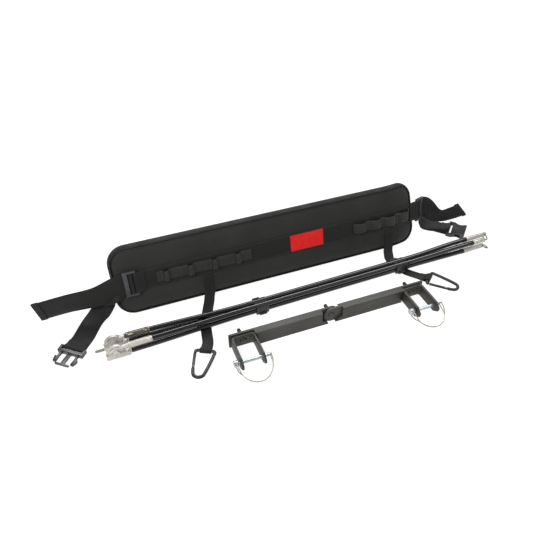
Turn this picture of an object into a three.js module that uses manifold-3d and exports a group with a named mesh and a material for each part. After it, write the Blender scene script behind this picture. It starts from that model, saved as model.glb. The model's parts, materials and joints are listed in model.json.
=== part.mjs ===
// Rigid sled-pulling harness kit, laid out as three rows: a padded waist belt with its straps, buckle
// and carabiners, a bundle of folded tow poles, and a jointed hitch bar with two clevises and lock pins.
// Millimetres, +Z up, +X along the poles, +Y away from the hitch bar. The floor is z = 0.
import * as THREE from "three";
import { mergeVertices } from "three/addons/utils/BufferGeometryUtils.js";
import Module from "manifold-3d";

const wasm = await Module();
wasm.setup();

// Shared sizes
const gap = 0.3; // between pieces that touch on the real kit
const overrun = 2; // how far a cutting tool stands past the face that it cuts
const webWide = 50; // main webbing
const tapeWide = 25; // narrow webbing
const webThick = 2;
const layoutX = 18.5; // these put the origin at the middle of the layout
const layoutY = -12;
const edgeRound = 2; // corners of moulded and cut pieces
const mergeReach = 1e-4; // corners closer than this are one

// Belt pad
const padLong = 800;
const padHigh = 168;
const padThick = 24;
const padCorner = 42;
const padCentreX = -12;
const beltY = 124; // middle plane of the pad, at the floor
const leanDeg = 15;
const wrapStart = 285; // from here the right end of the pad curls back
const wrapBack = 24; // how far it has curled at its tip
const endSlant = 0.14; // rise to run of the right end, whose top lies further in
const bandHeight = 82; // middle line of the main webbing, up the pad

// Webbing pieces on the pad
const leftLockX = -360; // inner bar of the left ladder lock
const rightLockX = 384;
const leftDaisyGap = 48; // inner bar of the lock to the daisy chain beside it
const rightDaisyGap = 34;
const daisyLeft = { from: leftLockX + leftDaisyGap, to: -82 };
const daisyRight = { from: 192, to: rightLockX - rightDaisyGap };
const daisyLoops = 4;
const dropLeftX = -195; // drop straps, where they leave the pad
const dropRightX = 296;
const daisyBulge = 6.5;
const labelLong = 88;
const labelHigh = 42;
const labelX = 64;
const labelThick = 1;

// Ladder locks: two round bars and a broad outer one between two rails
const barRadius = 2;
const barPitch = 9.6;
const outerBarStart = 17; // inner bar to the near edge of the broad one
const outerBarWide = 10;
const lockRise = 2.6; // the locks stand this far off the webbing, so that two straps pass behind them
const railWide = 5;
const railDeep = 5;
const railLip = 1; // how far a rail runs past the inner bar

// Side-release buckle halves, drawn with the strap bar along X and the mouth towards -Y
const buckleThick = 10;
const buckleArm = 5;
const buckleSlot = 9; // strap bar to body
const strapBarRadius = 2.2;
const malePlate = 7;
const guideLong = 32;
const guideWide = 9;
const guideThick = 4;
const guideHead = 34;
const prongLong = 26;
const prongWide = 4.5;
const prongThick = 6;
const prongPad = 9;
const prongOffset = 20;
const femaleLong = 36;
const femaleWaist = 7;
const socketDeep = 31;
const socketHigh = 6.8;
const socketWide = 53;
const windowLong = 13;
const maleReach = 163; // inner bar of the lock to the buckle's strap bar, along X
const femaleReach = 115;
const maleAt = { x: leftLockX - maleReach, y: 56, turnDeg: -38.5 };
const femaleAt = { x: rightLockX + femaleReach, y: 130, turnDeg: 44 };

// Carabiners: offset D, gate on the left
const carabinerRod = 3.75; // radius
const carabinerLong = 80;
const carabinerWide = 44;
const carabinerNarrow = 26;
const cornerShare = 0.3;
const gateShare = 0.66; // of the left side, from the wide end
const gateRadius = 3.2;
const tongueThick = 2.6;
const gatePinRadius = 1.1;
const gateClear = 2;
const carabinerLeftAt = { x: -256, y: -54, turnDeg: -27 };
const carabinerRightAt = { x: 330, y: -27, turnDeg: 40 };

// Poles: two, each folded in two, with the upper section hinged at the left end
const rodRadius = 6;
const bundleY = 16;
const bundleTurnDeg = 1.3; // the right ends lie further from the hitch bar
const clipPitch = 14; // spacing of the four rods in the clips
const lowRodZ = 10.9;
const hubSpread = 29; // spacing of the two poles at the knuckles
const hubX = -438;
const pivotZ = 19.8;
const rodOffset = 9; // rod axes above and below the pivot
const rodStart = 30; // pivot to the first of the lower rod
const lowRodEnd = 470;
const highRodEnd = 496;
const easeEnd = -128; // the rods run parallel from here
const rightEase = 305; // up to here
const rightSpread = 19;
const easeSteps = 6;
const rodSides = 14;

// Knuckles
const discRadius = 19.5;
const discThick = 6;
const blockLong = 52;
const blockWide = 15;
const blockLow = 5.4;
const blockHigh = 16.4;
const blockShift = 4; // the block reaches further right than left of the pivot
const pivotRadius = 3;
const neckRadius = 4.5;
const ferruleRadius = 6.9;
const ferruleStart = 24;
const ferruleLong = 56;
const studRadius = 3.4;
const studLong = 20;
const slitRadius = 14.5;
const slitWide = 2.4;
const dowelRadius = 1.6;

// Right ends of the rods
const tipRadius = 6.4;
const tubeLong = 36;
const tubeBore = 4.4;
const crossHole = 2;
const sleeveLong = 46;
const rearEyeShort = 8; // the rear upper rod ends this far before the front one
const eyeLong = 20;
const eyeEdge = 4.6; // eye's hole to its tip
const eyeThick = 4;
const eyeHigh = 12;
const eyeHole = 2.1;
const ringRadius = 9.6;
const ringWire = 1.3;
const ringDroopDeg = 27; // the front ring lies back to the floor
const ringHangDeg = 70; // the rear ring hangs

// Pole clips
const clipLong = 30;
const clipWall = 2;
const clipLeftX = -99;
const clipRightX = 278;
const clipCorner = 3;
const nubRadius = 3.4;

// Hitch bar: two halves joined by a bolt, each a back plate with a channel on its front
const hitchY = -56; // back face of the back plates
const barHigh = 38;
const plateThick = 5;
const channelDeep = 12;
const channelWall = 4;
const hitchLeftX = -173; // bolt of the left clevis
const hitchCentreX = 40;
const hitchRightX = 252;
const endReach = 31; // back plate beyond the clevis bolt
const centreCut = 25.5; // radius cut round the centre bolt
const lowCut = 21; // and below it, where the halves part as they fold
const boltRadius = 4;
const boltHead = 8;
const boltHeadThick = 3;
const studReach = 24; // bolt beyond the back plates
const nutRadius = 7.5;
const nutThick = 6.5;
const clevisWide = 55;
const clevisBar = 30;
const clevisThick = 5;
const clevisLong = 80;
const clevisBend = 9;
const tipWideShare = 0.3; // of the leg's width
const tipLong = 14;
const clevisClear = 1.2;
const pinBack = 62; // clevis base to lock pin
const pinRadius = 4;
const pinHeadRadius = 8;
const pinHeadLong = 9;
const pinOver = 13; // pin beyond the clevis on each side
const bailWire = 1.2;
const bailForkShare = 0.16; // of the arc, where its two strands lie apart at each end
const bailDroopDeg = 16;
const bailOut = 52; // how far the bail arc reaches from the pin

const rad = THREE.MathUtils.degToRad;
const V = (x, y, z) => new THREE.Vector3(x, y, z);

// Materials
const finish = (color, roughness, metalness) =>
  new THREE.MeshStandardMaterial({ color, roughness, metalness });
const foamCloth = finish(0x2b2c2a, 0.9, 0);
const webbing = finish(0x262725, 0.8, 0);
const labelRed = finish(0xd8231f, 0.7, 0);
const buckleGrey = finish(0x4c4e4f, 0.55, 0);
const rodBlack = finish(0x1b1b1a, 0.3, 0.1);
const castSilver = finish(0xc9c9c4, 0.4, 0.9);
const zinc = finish(0xb5bfc0, 0.3, 0.95);
const darkSteel = finish(0x3a3734, 0.6, 0.4);
const blackPlastic = finish(0x161616, 0.5, 0);
const carabinerSteel = finish(0x4a4844, 0.35, 0.8);

// Solids
const solid = (geometry) => {
  const bare = geometry.index ? geometry.toNonIndexed() : geometry.clone();
  const points = new THREE.BufferGeometry();
  points.setAttribute("position", bare.getAttribute("position"));
  const merged = mergeVertices(points, mergeReach);
  return new wasm.Manifold(
    new wasm.Mesh({
      numProp: 3,
      vertProperties: merged.attributes.position.array,
      triVerts: new Uint32Array(merged.index.array),
    }),
  );
};
const shell = (made) => {
  const { vertProperties, triVerts } = made.getMesh();
  const geometry = new THREE.BufferGeometry();
  geometry.setAttribute("position", new THREE.BufferAttribute(vertProperties, 3));
  return geometry.setIndex(new THREE.BufferAttribute(triVerts, 1));
};
const joined = (...pieces) => shell(pieces.map(solid).reduce((a, b) => a.add(b)));
const cut = (body, ...tools) => {
  const left = tools.map(solid).reduce((a, b) => a.subtract(b), solid(body));
  return shell(left);
};

// Primitive pieces, placed by their own values
const box = (x0, x1, y0, y1, z0, z1) =>
  new THREE.BoxGeometry(x1 - x0, y1 - y0, z1 - z0).translate((x0 + x1) / 2, (y0 + y1) / 2, (z0 + z1) / 2);
const rod = (from, to, radius, sides = 16, endRadius = radius) => {
  const along = to.clone().sub(from);
  const made = new THREE.CylinderGeometry(endRadius, radius, along.length(), sides);
  made.applyQuaternion(new THREE.Quaternion().setFromUnitVectors(V(0, 1, 0), along.normalize()));
  return made.translate(...from.clone().add(to).multiplyScalar(0.5).toArray());
};
const outline = (points) => new THREE.Shape(points.map(([x, y]) => new THREE.Vector2(x, y)));
const roundedBox = (x0, x1, y0, y1, corner) => {
  const shape = new THREE.Shape();
  shape.moveTo(x0 + corner, y0).lineTo(x1 - corner, y0);
  shape.absarc(x1 - corner, y0 + corner, corner, -Math.PI / 2, 0);
  shape.absarc(x1 - corner, y1 - corner, corner, 0, Math.PI / 2);
  shape.absarc(x0 + corner, y1 - corner, corner, Math.PI / 2, Math.PI);
  shape.absarc(x0 + corner, y0 + corner, corner, Math.PI, Math.PI * 1.5);
  return shape;
};
const slab = (shape, depth, curveSegments = 4) =>
  new THREE.ExtrudeGeometry(shape, { depth, bevelEnabled: false, curveSegments });
// A slab drawn in X and Z that runs from y0 to y1.
const upright = (shape, y0, y1, curveSegments) =>
  slab(shape, y1 - y0, curveSegments).rotateX(Math.PI / 2).translate(0, y1, 0);

// A body through a row of rings with as many points each, closed by a fan at either end.
const loft = (rings) => {
  const count = rings[0].length;
  const middle = (ring) => ring.reduce((sum, p) => sum.add(p), V(0, 0, 0)).divideScalar(count);
  const vertices = [...rings.flat(), middle(rings[0]), middle(rings[rings.length - 1])];
  const [first, last] = [vertices.length - 2, vertices.length - 1];
  const faces = [];
  rings.slice(1).forEach((_, row) => {
    for (let i = 0; i < count; i++) {
      const [a, b] = [row * count + i, row * count + ((i + 1) % count)];
      faces.push([a, b, b + count], [a, b + count, a + count]);
    }
  });
  for (let i = 0; i < count; i++) {
    const [a, b] = [i, (i + 1) % count];
    const end = (rings.length - 1) * count;
    faces.push([first, b, a], [last, end + a, end + b]);
  }
  const volume = faces.reduce((sum, [a, b, c]) => {
    const cross = vertices[b].clone().cross(vertices[c]);
    return sum + vertices[a].dot(cross);
  }, 0);
  const geometry = new THREE.BufferGeometry().setFromPoints(vertices);
  return geometry.setIndex(faces.flatMap((face) => (volume < 0 ? [...face].reverse() : face)));
};
// A flat strap through stations, each a point and the direction of the strap's width there.
const strap = (stations, wide, divisions) => {
  const places = new THREE.CatmullRomCurve3(stations.map(([point]) => point), false, "centripetal");
  const steps = (stations.length - 1) * divisions;
  const rings = Array.from({ length: steps + 1 }, (_, i) => {
    const [place, along] = [places.getPoint(i / steps), places.getTangent(i / steps)];
    const before = Math.min(Math.floor(i / divisions), stations.length - 2);
    const width = stations[before][1].clone().lerp(stations[before + 1][1], i / divisions - before);
    width.addScaledVector(along, -width.dot(along)).setLength(wide / 2);
    const depth = along.clone().cross(width).setLength(webThick / 2);
    return [[1, 1], [-1, 1], [-1, -1], [1, -1]].map(([across, out]) =>
      place.clone().addScaledVector(width, across).addScaledVector(depth, out),
    );
  });
  return loft(rings);
};
// A round bar along a curve.
const wire = (curve, radius, steps, sides = 8) => {
  const { normals, binormals } = curve.computeFrenetFrames(steps, false);
  const rings = normals.map((normal, i) => {
    const place = curve.getPointAt(i / steps);
    return Array.from({ length: sides }, (_, k) => {
      const turn = (2 * Math.PI * k) / sides;
      const out = normal.clone().multiplyScalar(radius * Math.cos(turn));
      return place.clone().add(out).addScaledVector(binormals[i], radius * Math.sin(turn));
    });
  });
  return loft(rings);
};

const kit = new THREE.Group();
const piece = (parent, name, geometry, material) => {
  const made = new THREE.Mesh(geometry, material);
  made.name = name;
  parent.add(made);
  return made;
};
const placed = (parent, x, y, z, turnDeg = 0) => {
  const group = new THREE.Group();
  group.position.set(x, y, z);
  group.rotation.z = rad(turnDeg);
  parent.add(group);
  return group;
};

// The pad leans back on its long edge; its own frame has X along it, Y through it and Z up it.
const lean = rad(leanDeg);
const beltLift = (padThick / 2) * Math.sin(lean);
const belt = placed(kit, 0, beltY, beltLift);
belt.rotation.x = -lean;
const wrapEnd = padCentreX + padLong / 2;
const wrapAt = (x) => wrapBack * Math.max(0, (x - wrapStart) / (wrapEnd - wrapStart)) ** 2;
const wrapSlope = (x) => (2 * wrapBack * Math.max(0, x - wrapStart)) / (wrapEnd - wrapStart) ** 2;
// A point so far in front of the pad's middle plane, in the pad's frame and in the kit's.
const onPad = (x, front, up) => {
  const turn = Math.atan(wrapSlope(x));
  return V(x + front * Math.sin(turn), wrapAt(x) - front * Math.cos(turn), up);
};
const padUp = V(0, Math.sin(lean), Math.cos(lean));
const toKit = (point) => point.applyAxisAngle(V(1, 0, 0), -lean).add(V(0, beltY, beltLift));
const faceFront = padThick / 2;
const bandFront = faceFront + 2 * gap + webThick / 2;
const wrapRadius = barRadius + gap + webThick / 2; // middle of a strap that goes round a bar
const lockFront = bandFront + wrapRadius + lockRise;

// Pad
const padSteps = 30;
const padSides = 20;
const padTipShare = 0.16; // of the corner radius, the flat left at each tip
const padSoftShare = 0.75; // lower is squarer, across the pad's height
const padFlatShare = 0.22; // lower is flatter, across its thickness
const padRing = (share) => {
  const reach = padLong / 2;
  const x = share * reach;
  const fromTip = reach - Math.abs(x) + padCorner * padTipShare;
  const corner = Math.max(0, padCorner - fromTip);
  const high = padHigh / 2 - (padCorner - Math.sqrt(padCorner ** 2 - corner ** 2));
  const edge = Math.max(0, padThick - fromTip);
  const thick = Math.sqrt(Math.max(0, padThick ** 2 - edge ** 2)) / 2;
  return Array.from({ length: padSides }, (_, k) => {
    const turn = (2 * Math.PI * (k + 0.5)) / padSides;
    const [c, s] = [Math.cos(turn), Math.sin(turn)];
    const up = Math.sign(s) * Math.abs(s) ** padSoftShare * high;
    const through = Math.sign(c) * Math.abs(c) ** padFlatShare * thick;
    const slanted = Math.max(0, (padCentreX + x - wrapStart) / (wrapEnd - wrapStart));
    return onPad(padCentreX + x - endSlant * (up + padHigh / 2) * slanted, -through, padHigh / 2 + up);
  });
};
const padStations = () =>
  Array.from({ length: padSteps + 1 }, (_, i) => Math.sin(Math.PI * (i / padSteps - 0.5)));
piece(belt, "belt_pad", loft(padStations().map(padRing)), foamCloth);

// A point beside a lock whose inner bar stands at lockX: so far along the lock and in front of it.
const besideLock = (lockX, along, front) => {
  const turn = Math.atan(wrapSlope(lockX));
  const bar = onPad(lockX, lockFront, bandHeight);
  const [c, s] = [Math.cos(turn), Math.sin(turn)];
  return bar.add(V(along * c + front * s, along * s - front * c, 0));
};

// Main webbing: from a loop on the left lock's inner bar to a loop on the right one's
const halfTurn = [0, 1, 2, 3, 4].map((step) => Math.PI * (step / 4));
const aroundBar = (lockX, side, facing) =>
  halfTurn.map((turn) => {
    const [out, front] = [side * wrapRadius * Math.sin(turn), facing * wrapRadius * Math.cos(turn)];
    return [besideLock(lockX, out, front), V(0, 0, 1)];
  });
const stitchReach = 22;
const stitchedFront = bandFront + webThick + gap;
const bandStations = () => {
  const [from, to] = [leftLockX + stitchReach, rightLockX - stitchReach];
  const bendStart = wrapStart - stitchReach;
  const shares = (count) => Array.from({ length: count }, (_, i) => i / count);
  const level = from + stitchReach;
  const places = [
    from,
    ...shares(3).map((share) => level + (bendStart - level) * share),
    ...shares(6).map((share) => bendStart + (to - bendStart) * share),
    to,
  ];
  const middle = places.map((x) => [onPad(x, bandFront, bandHeight), V(0, 0, 1)]);
  return [
    [onPad(leftLockX + stitchReach, stitchedFront, bandHeight), V(0, 0, 1)],
    [onPad(leftLockX + stitchReach / 2, stitchedFront + lockRise, bandHeight), V(0, 0, 1)],
    ...aroundBar(leftLockX, -1, 1),
    ...middle,
    ...aroundBar(rightLockX, 1, -1),
    [onPad(rightLockX - stitchReach / 2, stitchedFront + lockRise, bandHeight), V(0, 0, 1)],
    [onPad(rightLockX - stitchReach, stitchedFront, bandHeight), V(0, 0, 1)],
  ];
};
piece(belt, "belt_webbing", strap(bandStations(), webWide, 2), webbing);

// Daisy chains: narrow webbing stitched down between its loops
const chainFront = stitchedFront + 2.5 * gap;
const daisyChain = ({ from, to }) => {
  const pitch = (to - from) / daisyLoops;
  const stations = [];
  for (let i = 0; i < daisyLoops; i++) {
    const bulgeShares = [[0, 0], [0.2, 0.05], [0.36, 1], [0.6, 1], [0.78, 0.05]];
    for (const [along, out] of bulgeShares) {
      const place = onPad(from + (i + along) * pitch, chainFront + out * daisyBulge, bandHeight);
      stations.push([place, V(0, 0, 1)]);
    }
  }
  stations.push([onPad(to, chainFront, bandHeight), V(0, 0, 1)]);
  return strap(stations, tapeWide, 2);
};
piece(belt, "daisy_chain_left", daisyChain(daisyLeft), webbing);
piece(belt, "daisy_chain_right", daisyChain(daisyRight), webbing);
const labelFront = bandFront + webThick / 2 + gap;
piece(
  belt,
  "label_patch",
  box(
    labelX - labelLong / 2,
    labelX + labelLong / 2,
    -labelFront - labelThick,
    -labelFront,
    bandHeight - labelHigh / 2,
    bandHeight + labelHigh / 2,
  ),
  labelRed,
);

// Ladder locks
const lockHigh = webWide + 6 * gap;
const ladderLock = (x, side) => {
  const turn = Math.atan(wrapSlope(x));
  const half = lockHigh / 2;
  const reach = barRadius + railLip;
  const bars = [0, 1].map((i) =>
    rod(V(side * i * barPitch, 0, -half - overrun), V(side * i * barPitch, 0, half + overrun), barRadius, 12),
  );
  const across = (from, to) => [side * from, side * to].sort((a, b) => a - b);
  const outerEnd = outerBarStart + outerBarWide;
  const broad = box(...across(outerBarStart, outerEnd), -barRadius, barRadius, -half - gap, half + gap);
  const ends = across(-reach, outerEnd);
  const rails = [-1, 1].map((up) => {
    const levels = [up * half, up * (half + railWide)].sort((a, b) => a - b);
    return box(...ends, -railDeep / 2, railDeep / 2, ...levels);
  });
  const made = joined(...bars, broad, ...rails);
  const at = besideLock(x, 0, 0);
  return made.rotateZ(turn).translate(at.x, at.y, at.z);
};
piece(belt, "ladder_lock_left", ladderLock(leftLockX, -1), buckleGrey);
piece(belt, "ladder_lock_right", ladderLock(rightLockX, 1), buckleGrey);

// Adjusting straps: free tail, behind the lock's broad bar, over its middle bar, then behind both of them
// and down to the buckle's strap bar
const lockTurn = (lockX, side) => {
  const place = (along, front) => [toKit(besideLock(lockX, side * along, front)), padUp];
  const legFront = -wrapRadius - lockRise;
  const [broadEnd, past] = [outerBarStart + outerBarWide, 2 * barRadius];
  return [
    place(broadEnd + 3 * past, -wrapRadius),
    place(outerBarStart, -wrapRadius),
    ...[-Math.PI / 2, -Math.PI / 4, ...halfTurn].map((turn) =>
      place(barPitch - wrapRadius * Math.sin(turn), wrapRadius * Math.cos(turn)),
    ),
    place(outerBarStart - past, (legFront - wrapRadius) / 2 - gap),
    place(outerBarStart + past, legFront),
    place(broadEnd, legFront),
    place(broadEnd + past, legFront - (side > 0 ? 2 * gap : 0)),
  ];
};
const loopRadius = strapBarRadius + gap + webThick / 2;
const turnShares = [[0, -1], [-0.71, -0.71], [-1, 0], [-0.71, 0.71], [0, 1]]; // half a turn round a bar
// The strap's last stretch: flat on the floor, round the buckle's bar and back on itself.
const buckleLoop = ({ x, y, turnDeg }, lowZ) => {
  const across = V(Math.cos(rad(turnDeg)), Math.sin(rad(turnDeg)), 0);
  const back = V(-across.y, across.x, 0);
  const at = (along, z) => [V(x, y, z).addScaledVector(back, along), across];
  const middle = buckleThick / 2;
  return [
    at(stitchReach * 1.7, lowZ + gap),
    at(stitchReach, lowZ),
    ...turnShares.map(([along, up]) => at(along * loopRadius, middle + up * loopRadius)),
    at(stitchReach / 2, lowZ + webThick + 2 * gap),
    at(stitchReach, lowZ + webThick + gap),
  ];
};
const floorZ = webThick / 2 + 2 * gap;
// Places along each free stretch, in strap widths from the foot of its lock's inner bar, each with the
// direction of the strap's width.
const tailLeftShares = [
  [[-4.56, 1.02, 0.58], [0, 0.05, 1]],
  [[-3.2, 0.66, 0.96], [0, 0.05, 1]],
  [[-1.8, 0.22, 1.34], [0, 0.15, 1]],
];
const legLeftShares = [
  [[-1.06, 0.16, 1.42], [0.2, 0.24, 0.95]],
  [[-1.46, 0.56, 0.74], [0.75, 0.05, 0.6]],
  [[-1.82, 0.42, 0.26], [0.9, -0.3, 0.15]],
  [[-2.3, 0.04, 0.04], [0.8, -0.6, 0]],
];
const tailRightShares = [
  [[2.62, -0.16, 1.5], [-0.67, 0.09, 0.74]],
  [[2.25, 0.12, 1.16], [-0.5, -0.02, 0.86]],
  [[1.8, 0.36, 0.94], [-0.25, -0.2, 0.93]],
  [[1.42, 0.6, 1], [0, -0.16, 0.98]],
];
const legRightShares = [
  [[0.84, 1.04, 1.3], [0, 0.26, 0.97]],
  [[1.04, 1.12, 0.62], [0.45, 0.6, 0.6]],
  [[1.26, 1.08, 0.12], [0.6, 0.78, 0.1]],
  [[1.5, 0.86, 0.04], [0.7, 0.7, 0]],
];
const routeFrom = (start, unit, shares) =>
  shares.map(([place, across]) => [V(...place).multiplyScalar(unit).add(start), V(...across)]);
const adjustStrap = (tailShares, lockX, side, legShares, buckle) => {
  const foot = V(lockX, beltY, 0);
  const [tail, leg] = [tailShares, legShares].map((shares) => routeFrom(foot, webWide, shares));
  return strap([...tail, ...lockTurn(lockX, side), ...leg, ...buckleLoop(buckle, floorZ)], webWide, 3);
};
piece(kit, "adjust_strap_left", adjustStrap(tailLeftShares, leftLockX, -1, legLeftShares, maleAt), webbing);
const strapRight = adjustStrap(tailRightShares, rightLockX, 1, legRightShares, femaleAt);
piece(kit, "adjust_strap_right", strapRight, webbing);

// Side-release buckle
const strapSpace = webWide / 2 + 2 * gap;
const buckleHalf = strapSpace + buckleArm;
const strapBar = () => {
  const [from, to] = [-buckleHalf, buckleHalf].map((x) => V(x, 0, buckleThick / 2));
  return rod(from, to, strapBarRadius, 12);
};
const buckleArms = () =>
  [-1, 1].map((side) => {
    const ends = [side * strapSpace, side * buckleHalf].sort((a, b) => a - b);
    return box(...ends, -buckleSlot - overrun, strapBarRadius, 0, buckleThick);
  });
const maleFront = -buckleSlot - malePlate;
const maleBody = () => {
  const middle = buckleThick / 2;
  const levels = [middle - guideThick / 2, middle + guideThick / 2];
  const guideEnd = maleFront - guideLong;
  const plate = slab(roundedBox(-buckleHalf, buckleHalf, maleFront, -buckleSlot, edgeRound), buckleThick);
  const guide = box(-guideWide / 2, guideWide / 2, guideEnd, maleFront + overrun, ...levels);
  const [left, right] = [-guideHead / 2, guideHead / 2];
  const head = slab(roundedBox(left, right, guideEnd, guideEnd + prongWide, edgeRound), guideThick);
  return joined(strapBar(), ...buckleArms(), plate, guide, head.translate(0, 0, levels[0]));
};
const prong = (side) => {
  const at = (x, y) => [side * x, y];
  const start = maleFront - gap;
  const padStart = start - prongLong + prongPad * 1.6;
  const [inner, outer] = [prongOffset - prongWide / 2, prongOffset + prongWide / 2];
  const shape = outline([
    at(inner, start),
    at(inner + prongWide * 0.2, start - prongLong * 0.5),
    at(inner, start - prongLong),
    at(outer + prongPad * 0.3, start - prongLong),
    at(outer + prongPad * 0.6, padStart - prongPad * 0.5),
    at(outer + prongPad * 0.6, padStart),
    at(outer + prongPad * 0.1, padStart),
    at(outer, start),
  ]);
  return slab(shape, prongThick).translate(0, 0, (buckleThick - prongThick) / 2);
};
const male = placed(kit, maleAt.x, maleAt.y, 0, maleAt.turnDeg);
piece(male, "male_buckle", maleBody(), buckleGrey);
piece(male, "male_prong_left", prong(-1), buckleGrey);
piece(male, "male_prong_right", prong(1), buckleGrey);

const femaleBody = () => {
  const [back, front] = [-buckleSlot, -buckleSlot - femaleLong];
  const half = buckleHalf;
  const side = (s) => [
    [s * half, back],
    [s * half, back - femaleLong * 0.12],
    [s * (half - femaleWaist * 0.7), back - femaleLong * 0.3],
    [s * (half - femaleWaist), back - femaleLong * 0.5],
    [s * (half - femaleWaist * 0.7), back - femaleLong * 0.7],
    [s * half, back - femaleLong * 0.92],
    [s * (half - femaleWaist * 0.3), front],
  ];
  const body = slab(outline([...side(-1), ...side(1).reverse()]), buckleThick);
  const middle = buckleThick / 2;
  const narrow = half - femaleWaist - buckleArm / 2;
  const levels = [middle - socketHigh / 2, middle + socketHigh / 2];
  const mouth = box(-socketWide / 2, socketWide / 2, front - overrun, front + windowLong, ...levels);
  const socket = box(-narrow, narrow, front, front + socketDeep, ...levels);
  const openSides = [-1, 1].map((s) => {
    const ends = [s * narrow * 0.8, s * (half + overrun)].sort((a, b) => a - b);
    return box(...ends, front + windowLong - overrun, front + 2 * windowLong - overrun, ...levels);
  });
  return cut(joined(strapBar(), ...buckleArms(), body), mouth, socket, ...openSides);
};
const female = placed(kit, femaleAt.x, femaleAt.y, 0, femaleAt.turnDeg);
piece(female, "female_buckle", femaleBody(), buckleGrey);

// Drop straps: sewn under the main webbing, down the pad, along the floor and round the carabiner
const carabinerLoop = carabinerRod + 2 * gap + webThick / 2;
const carabinerZ = carabinerLoop + webThick / 2;
const dropStrap = (x, routeShares, { x: endX, y: endY, turnDeg }) => {
  const across = V(Math.cos(rad(turnDeg)), Math.sin(rad(turnDeg)), 0);
  const back = V(-across.y, across.x, 0);
  const flat = V(1, 0, 0);
  const at = (along, z) => [V(endX, endY, z).addScaledVector(back, along), across];
  const floorLevel = webThick / 2 + gap;
  const route = routeFrom(V(x, beltY, floorLevel), tapeWide, routeShares);
  const top = bandHeight - webWide / 2 - 2 * gap;
  return strap(
    [
      [toKit(onPad(x, bandFront, top)), flat],
      [toKit(onPad(x, bandFront, top * 0.55)), flat],
      [toKit(onPad(x, bandFront + gap, top * 0.2)), flat],
      ...route,
      at(stitchReach * 1.1, floorLevel),
      ...turnShares.map(([along, up]) => at(along * carabinerLoop, carabinerZ + up * carabinerLoop)),
      at(stitchReach * 0.6, floorLevel + webThick + 2 * gap),
      at(stitchReach, floorLevel + webThick),
    ],
    tapeWide,
    3,
  );
};
// Places down from the pad and under the poles, in tape widths from the foot of the pad.
const routeLeftShares = [
  [[-0.2, -0.72, 0.188], [1, 0.15, 0]],
  [[-0.4, -1.2, 0.02], [1, 0.2, 0]],
  [[-0.72, -1.92, 0], [1, 0.3, 0]],
  [[-1.56, -4.16, 0], [0.95, -0.3, 0]],
];
const routeRightShares = [
  [[-0.16, -0.72, 0.188], [1, -0.05, 0]],
  [[-0.36, -1.2, 0.02], [1, -0.1, 0]],
  [[-0.64, -2, 0], [1, -0.2, 0]],
  [[-0.24, -4, 0], [0.9, 0.45, 0]],
];
piece(kit, "drop_strap_left", dropStrap(dropLeftX, routeLeftShares, carabinerLeftAt), webbing);
piece(kit, "drop_strap_right", dropStrap(dropRightX, routeRightShares, carabinerRightAt), webbing);

// Carabiners, drawn with the wide end along X at the strap and the narrow end towards -Y
const hookTip = () => V(-carabinerWide / 2, -carabinerWide * 0.12, 0);
const gateHinge = () => {
  const foot = V(-carabinerNarrow / 2 - carabinerWide * 0.06, -carabinerLong + carabinerNarrow / 2, 0);
  return hookTip().lerp(foot, gateShare);
};
// A short upright pin through a place, with as much above it as below.
const upDown = (place, half, radius) => rod(place.clone().setZ(-half), place.clone().setZ(half), radius, 10);
const carabinerBody = () => {
  const [wide, narrow] = [carabinerWide / 2, carabinerNarrow / 2];
  const corner = carabinerWide * cornerShare * 0.5;
  const end = -carabinerLong + narrow + 2 * carabinerRod;
  const shift = carabinerWide * 0.06;
  const curve = new THREE.CatmullRomCurve3(
    [
      hookTip(),
      V(-wide + corner * 0.35, -corner * 0.25, 0),
      V(-wide + corner * 1.3, 0, 0),
      V(0, 0, 0),
      V(wide - corner * 1.3, 0, 0),
      V(wide - corner * 0.2, -corner * 0.45, 0),
      V(wide - corner * 0.3, -corner * 1.9, 0),
      V(narrow - shift, end, 0),
      V(narrow * 0.7 - shift, end - narrow * 0.7, 0),
      V(-shift, end - narrow, 0),
      V(-narrow * 0.7 - shift, end - narrow * 0.7, 0),
      V(-narrow - shift, end, 0),
      gateHinge().lerp(V(-narrow - shift, end, 0), 0.35),
    ],
    false,
    "centripetal",
  );
  const hinge = gateHinge();
  const last = curve.getPoint(1);
  const along = hinge.clone().sub(last).normalize();
  const side = V(-along.y, along.x, 0);
  const reach = carabinerRod * 0.75;
  const corners = [
    last.clone().addScaledVector(side, reach),
    last.clone().addScaledVector(side, -reach),
    hinge.clone().addScaledVector(side, -reach).addScaledVector(along, reach),
    hinge.clone().addScaledVector(side, reach).addScaledVector(along, reach),
  ].map((p) => [p.x, p.y]);
  const tongue = slab(outline(corners), tongueThick).translate(0, 0, -tongueThick / 2);
  const bore = upDown(hinge, 2 * overrun, gatePinRadius + gap);
  return cut(joined(wire(curve, carabinerRod, 34, 8), tongue), bore);
};
const gateBody = () => {
  const [hinge, tip] = [gateHinge(), hookTip()];
  const along = tip.clone().sub(hinge).normalize();
  const from = hinge.clone().addScaledVector(along, -gateRadius * 0.9);
  const to = tip.clone().addScaledVector(along, -gateClear - carabinerRod * 0.1);
  const bar = rod(from, to, gateRadius, 12);
  const slotHalf = tongueThick / 2 + gap;
  const slotEnd = hinge.clone().addScaledVector(along, carabinerRod * 1.35);
  const slotStart = from.clone().addScaledVector(along, -overrun);
  const side = V(-along.y, along.x, 0).multiplyScalar(gateRadius + overrun);
  const corners = [
    slotStart.clone().add(side),
    slotEnd.clone().add(side),
    slotEnd.clone().sub(side),
    slotStart.clone().sub(side),
  ].map((p) => [p.x, p.y]);
  const slot = slab(outline(corners), 2 * slotHalf).translate(0, 0, -slotHalf);
  const bore = upDown(hinge, gateRadius + overrun, gatePinRadius + gap / 2);
  return cut(bar, slot, bore);
};
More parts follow.
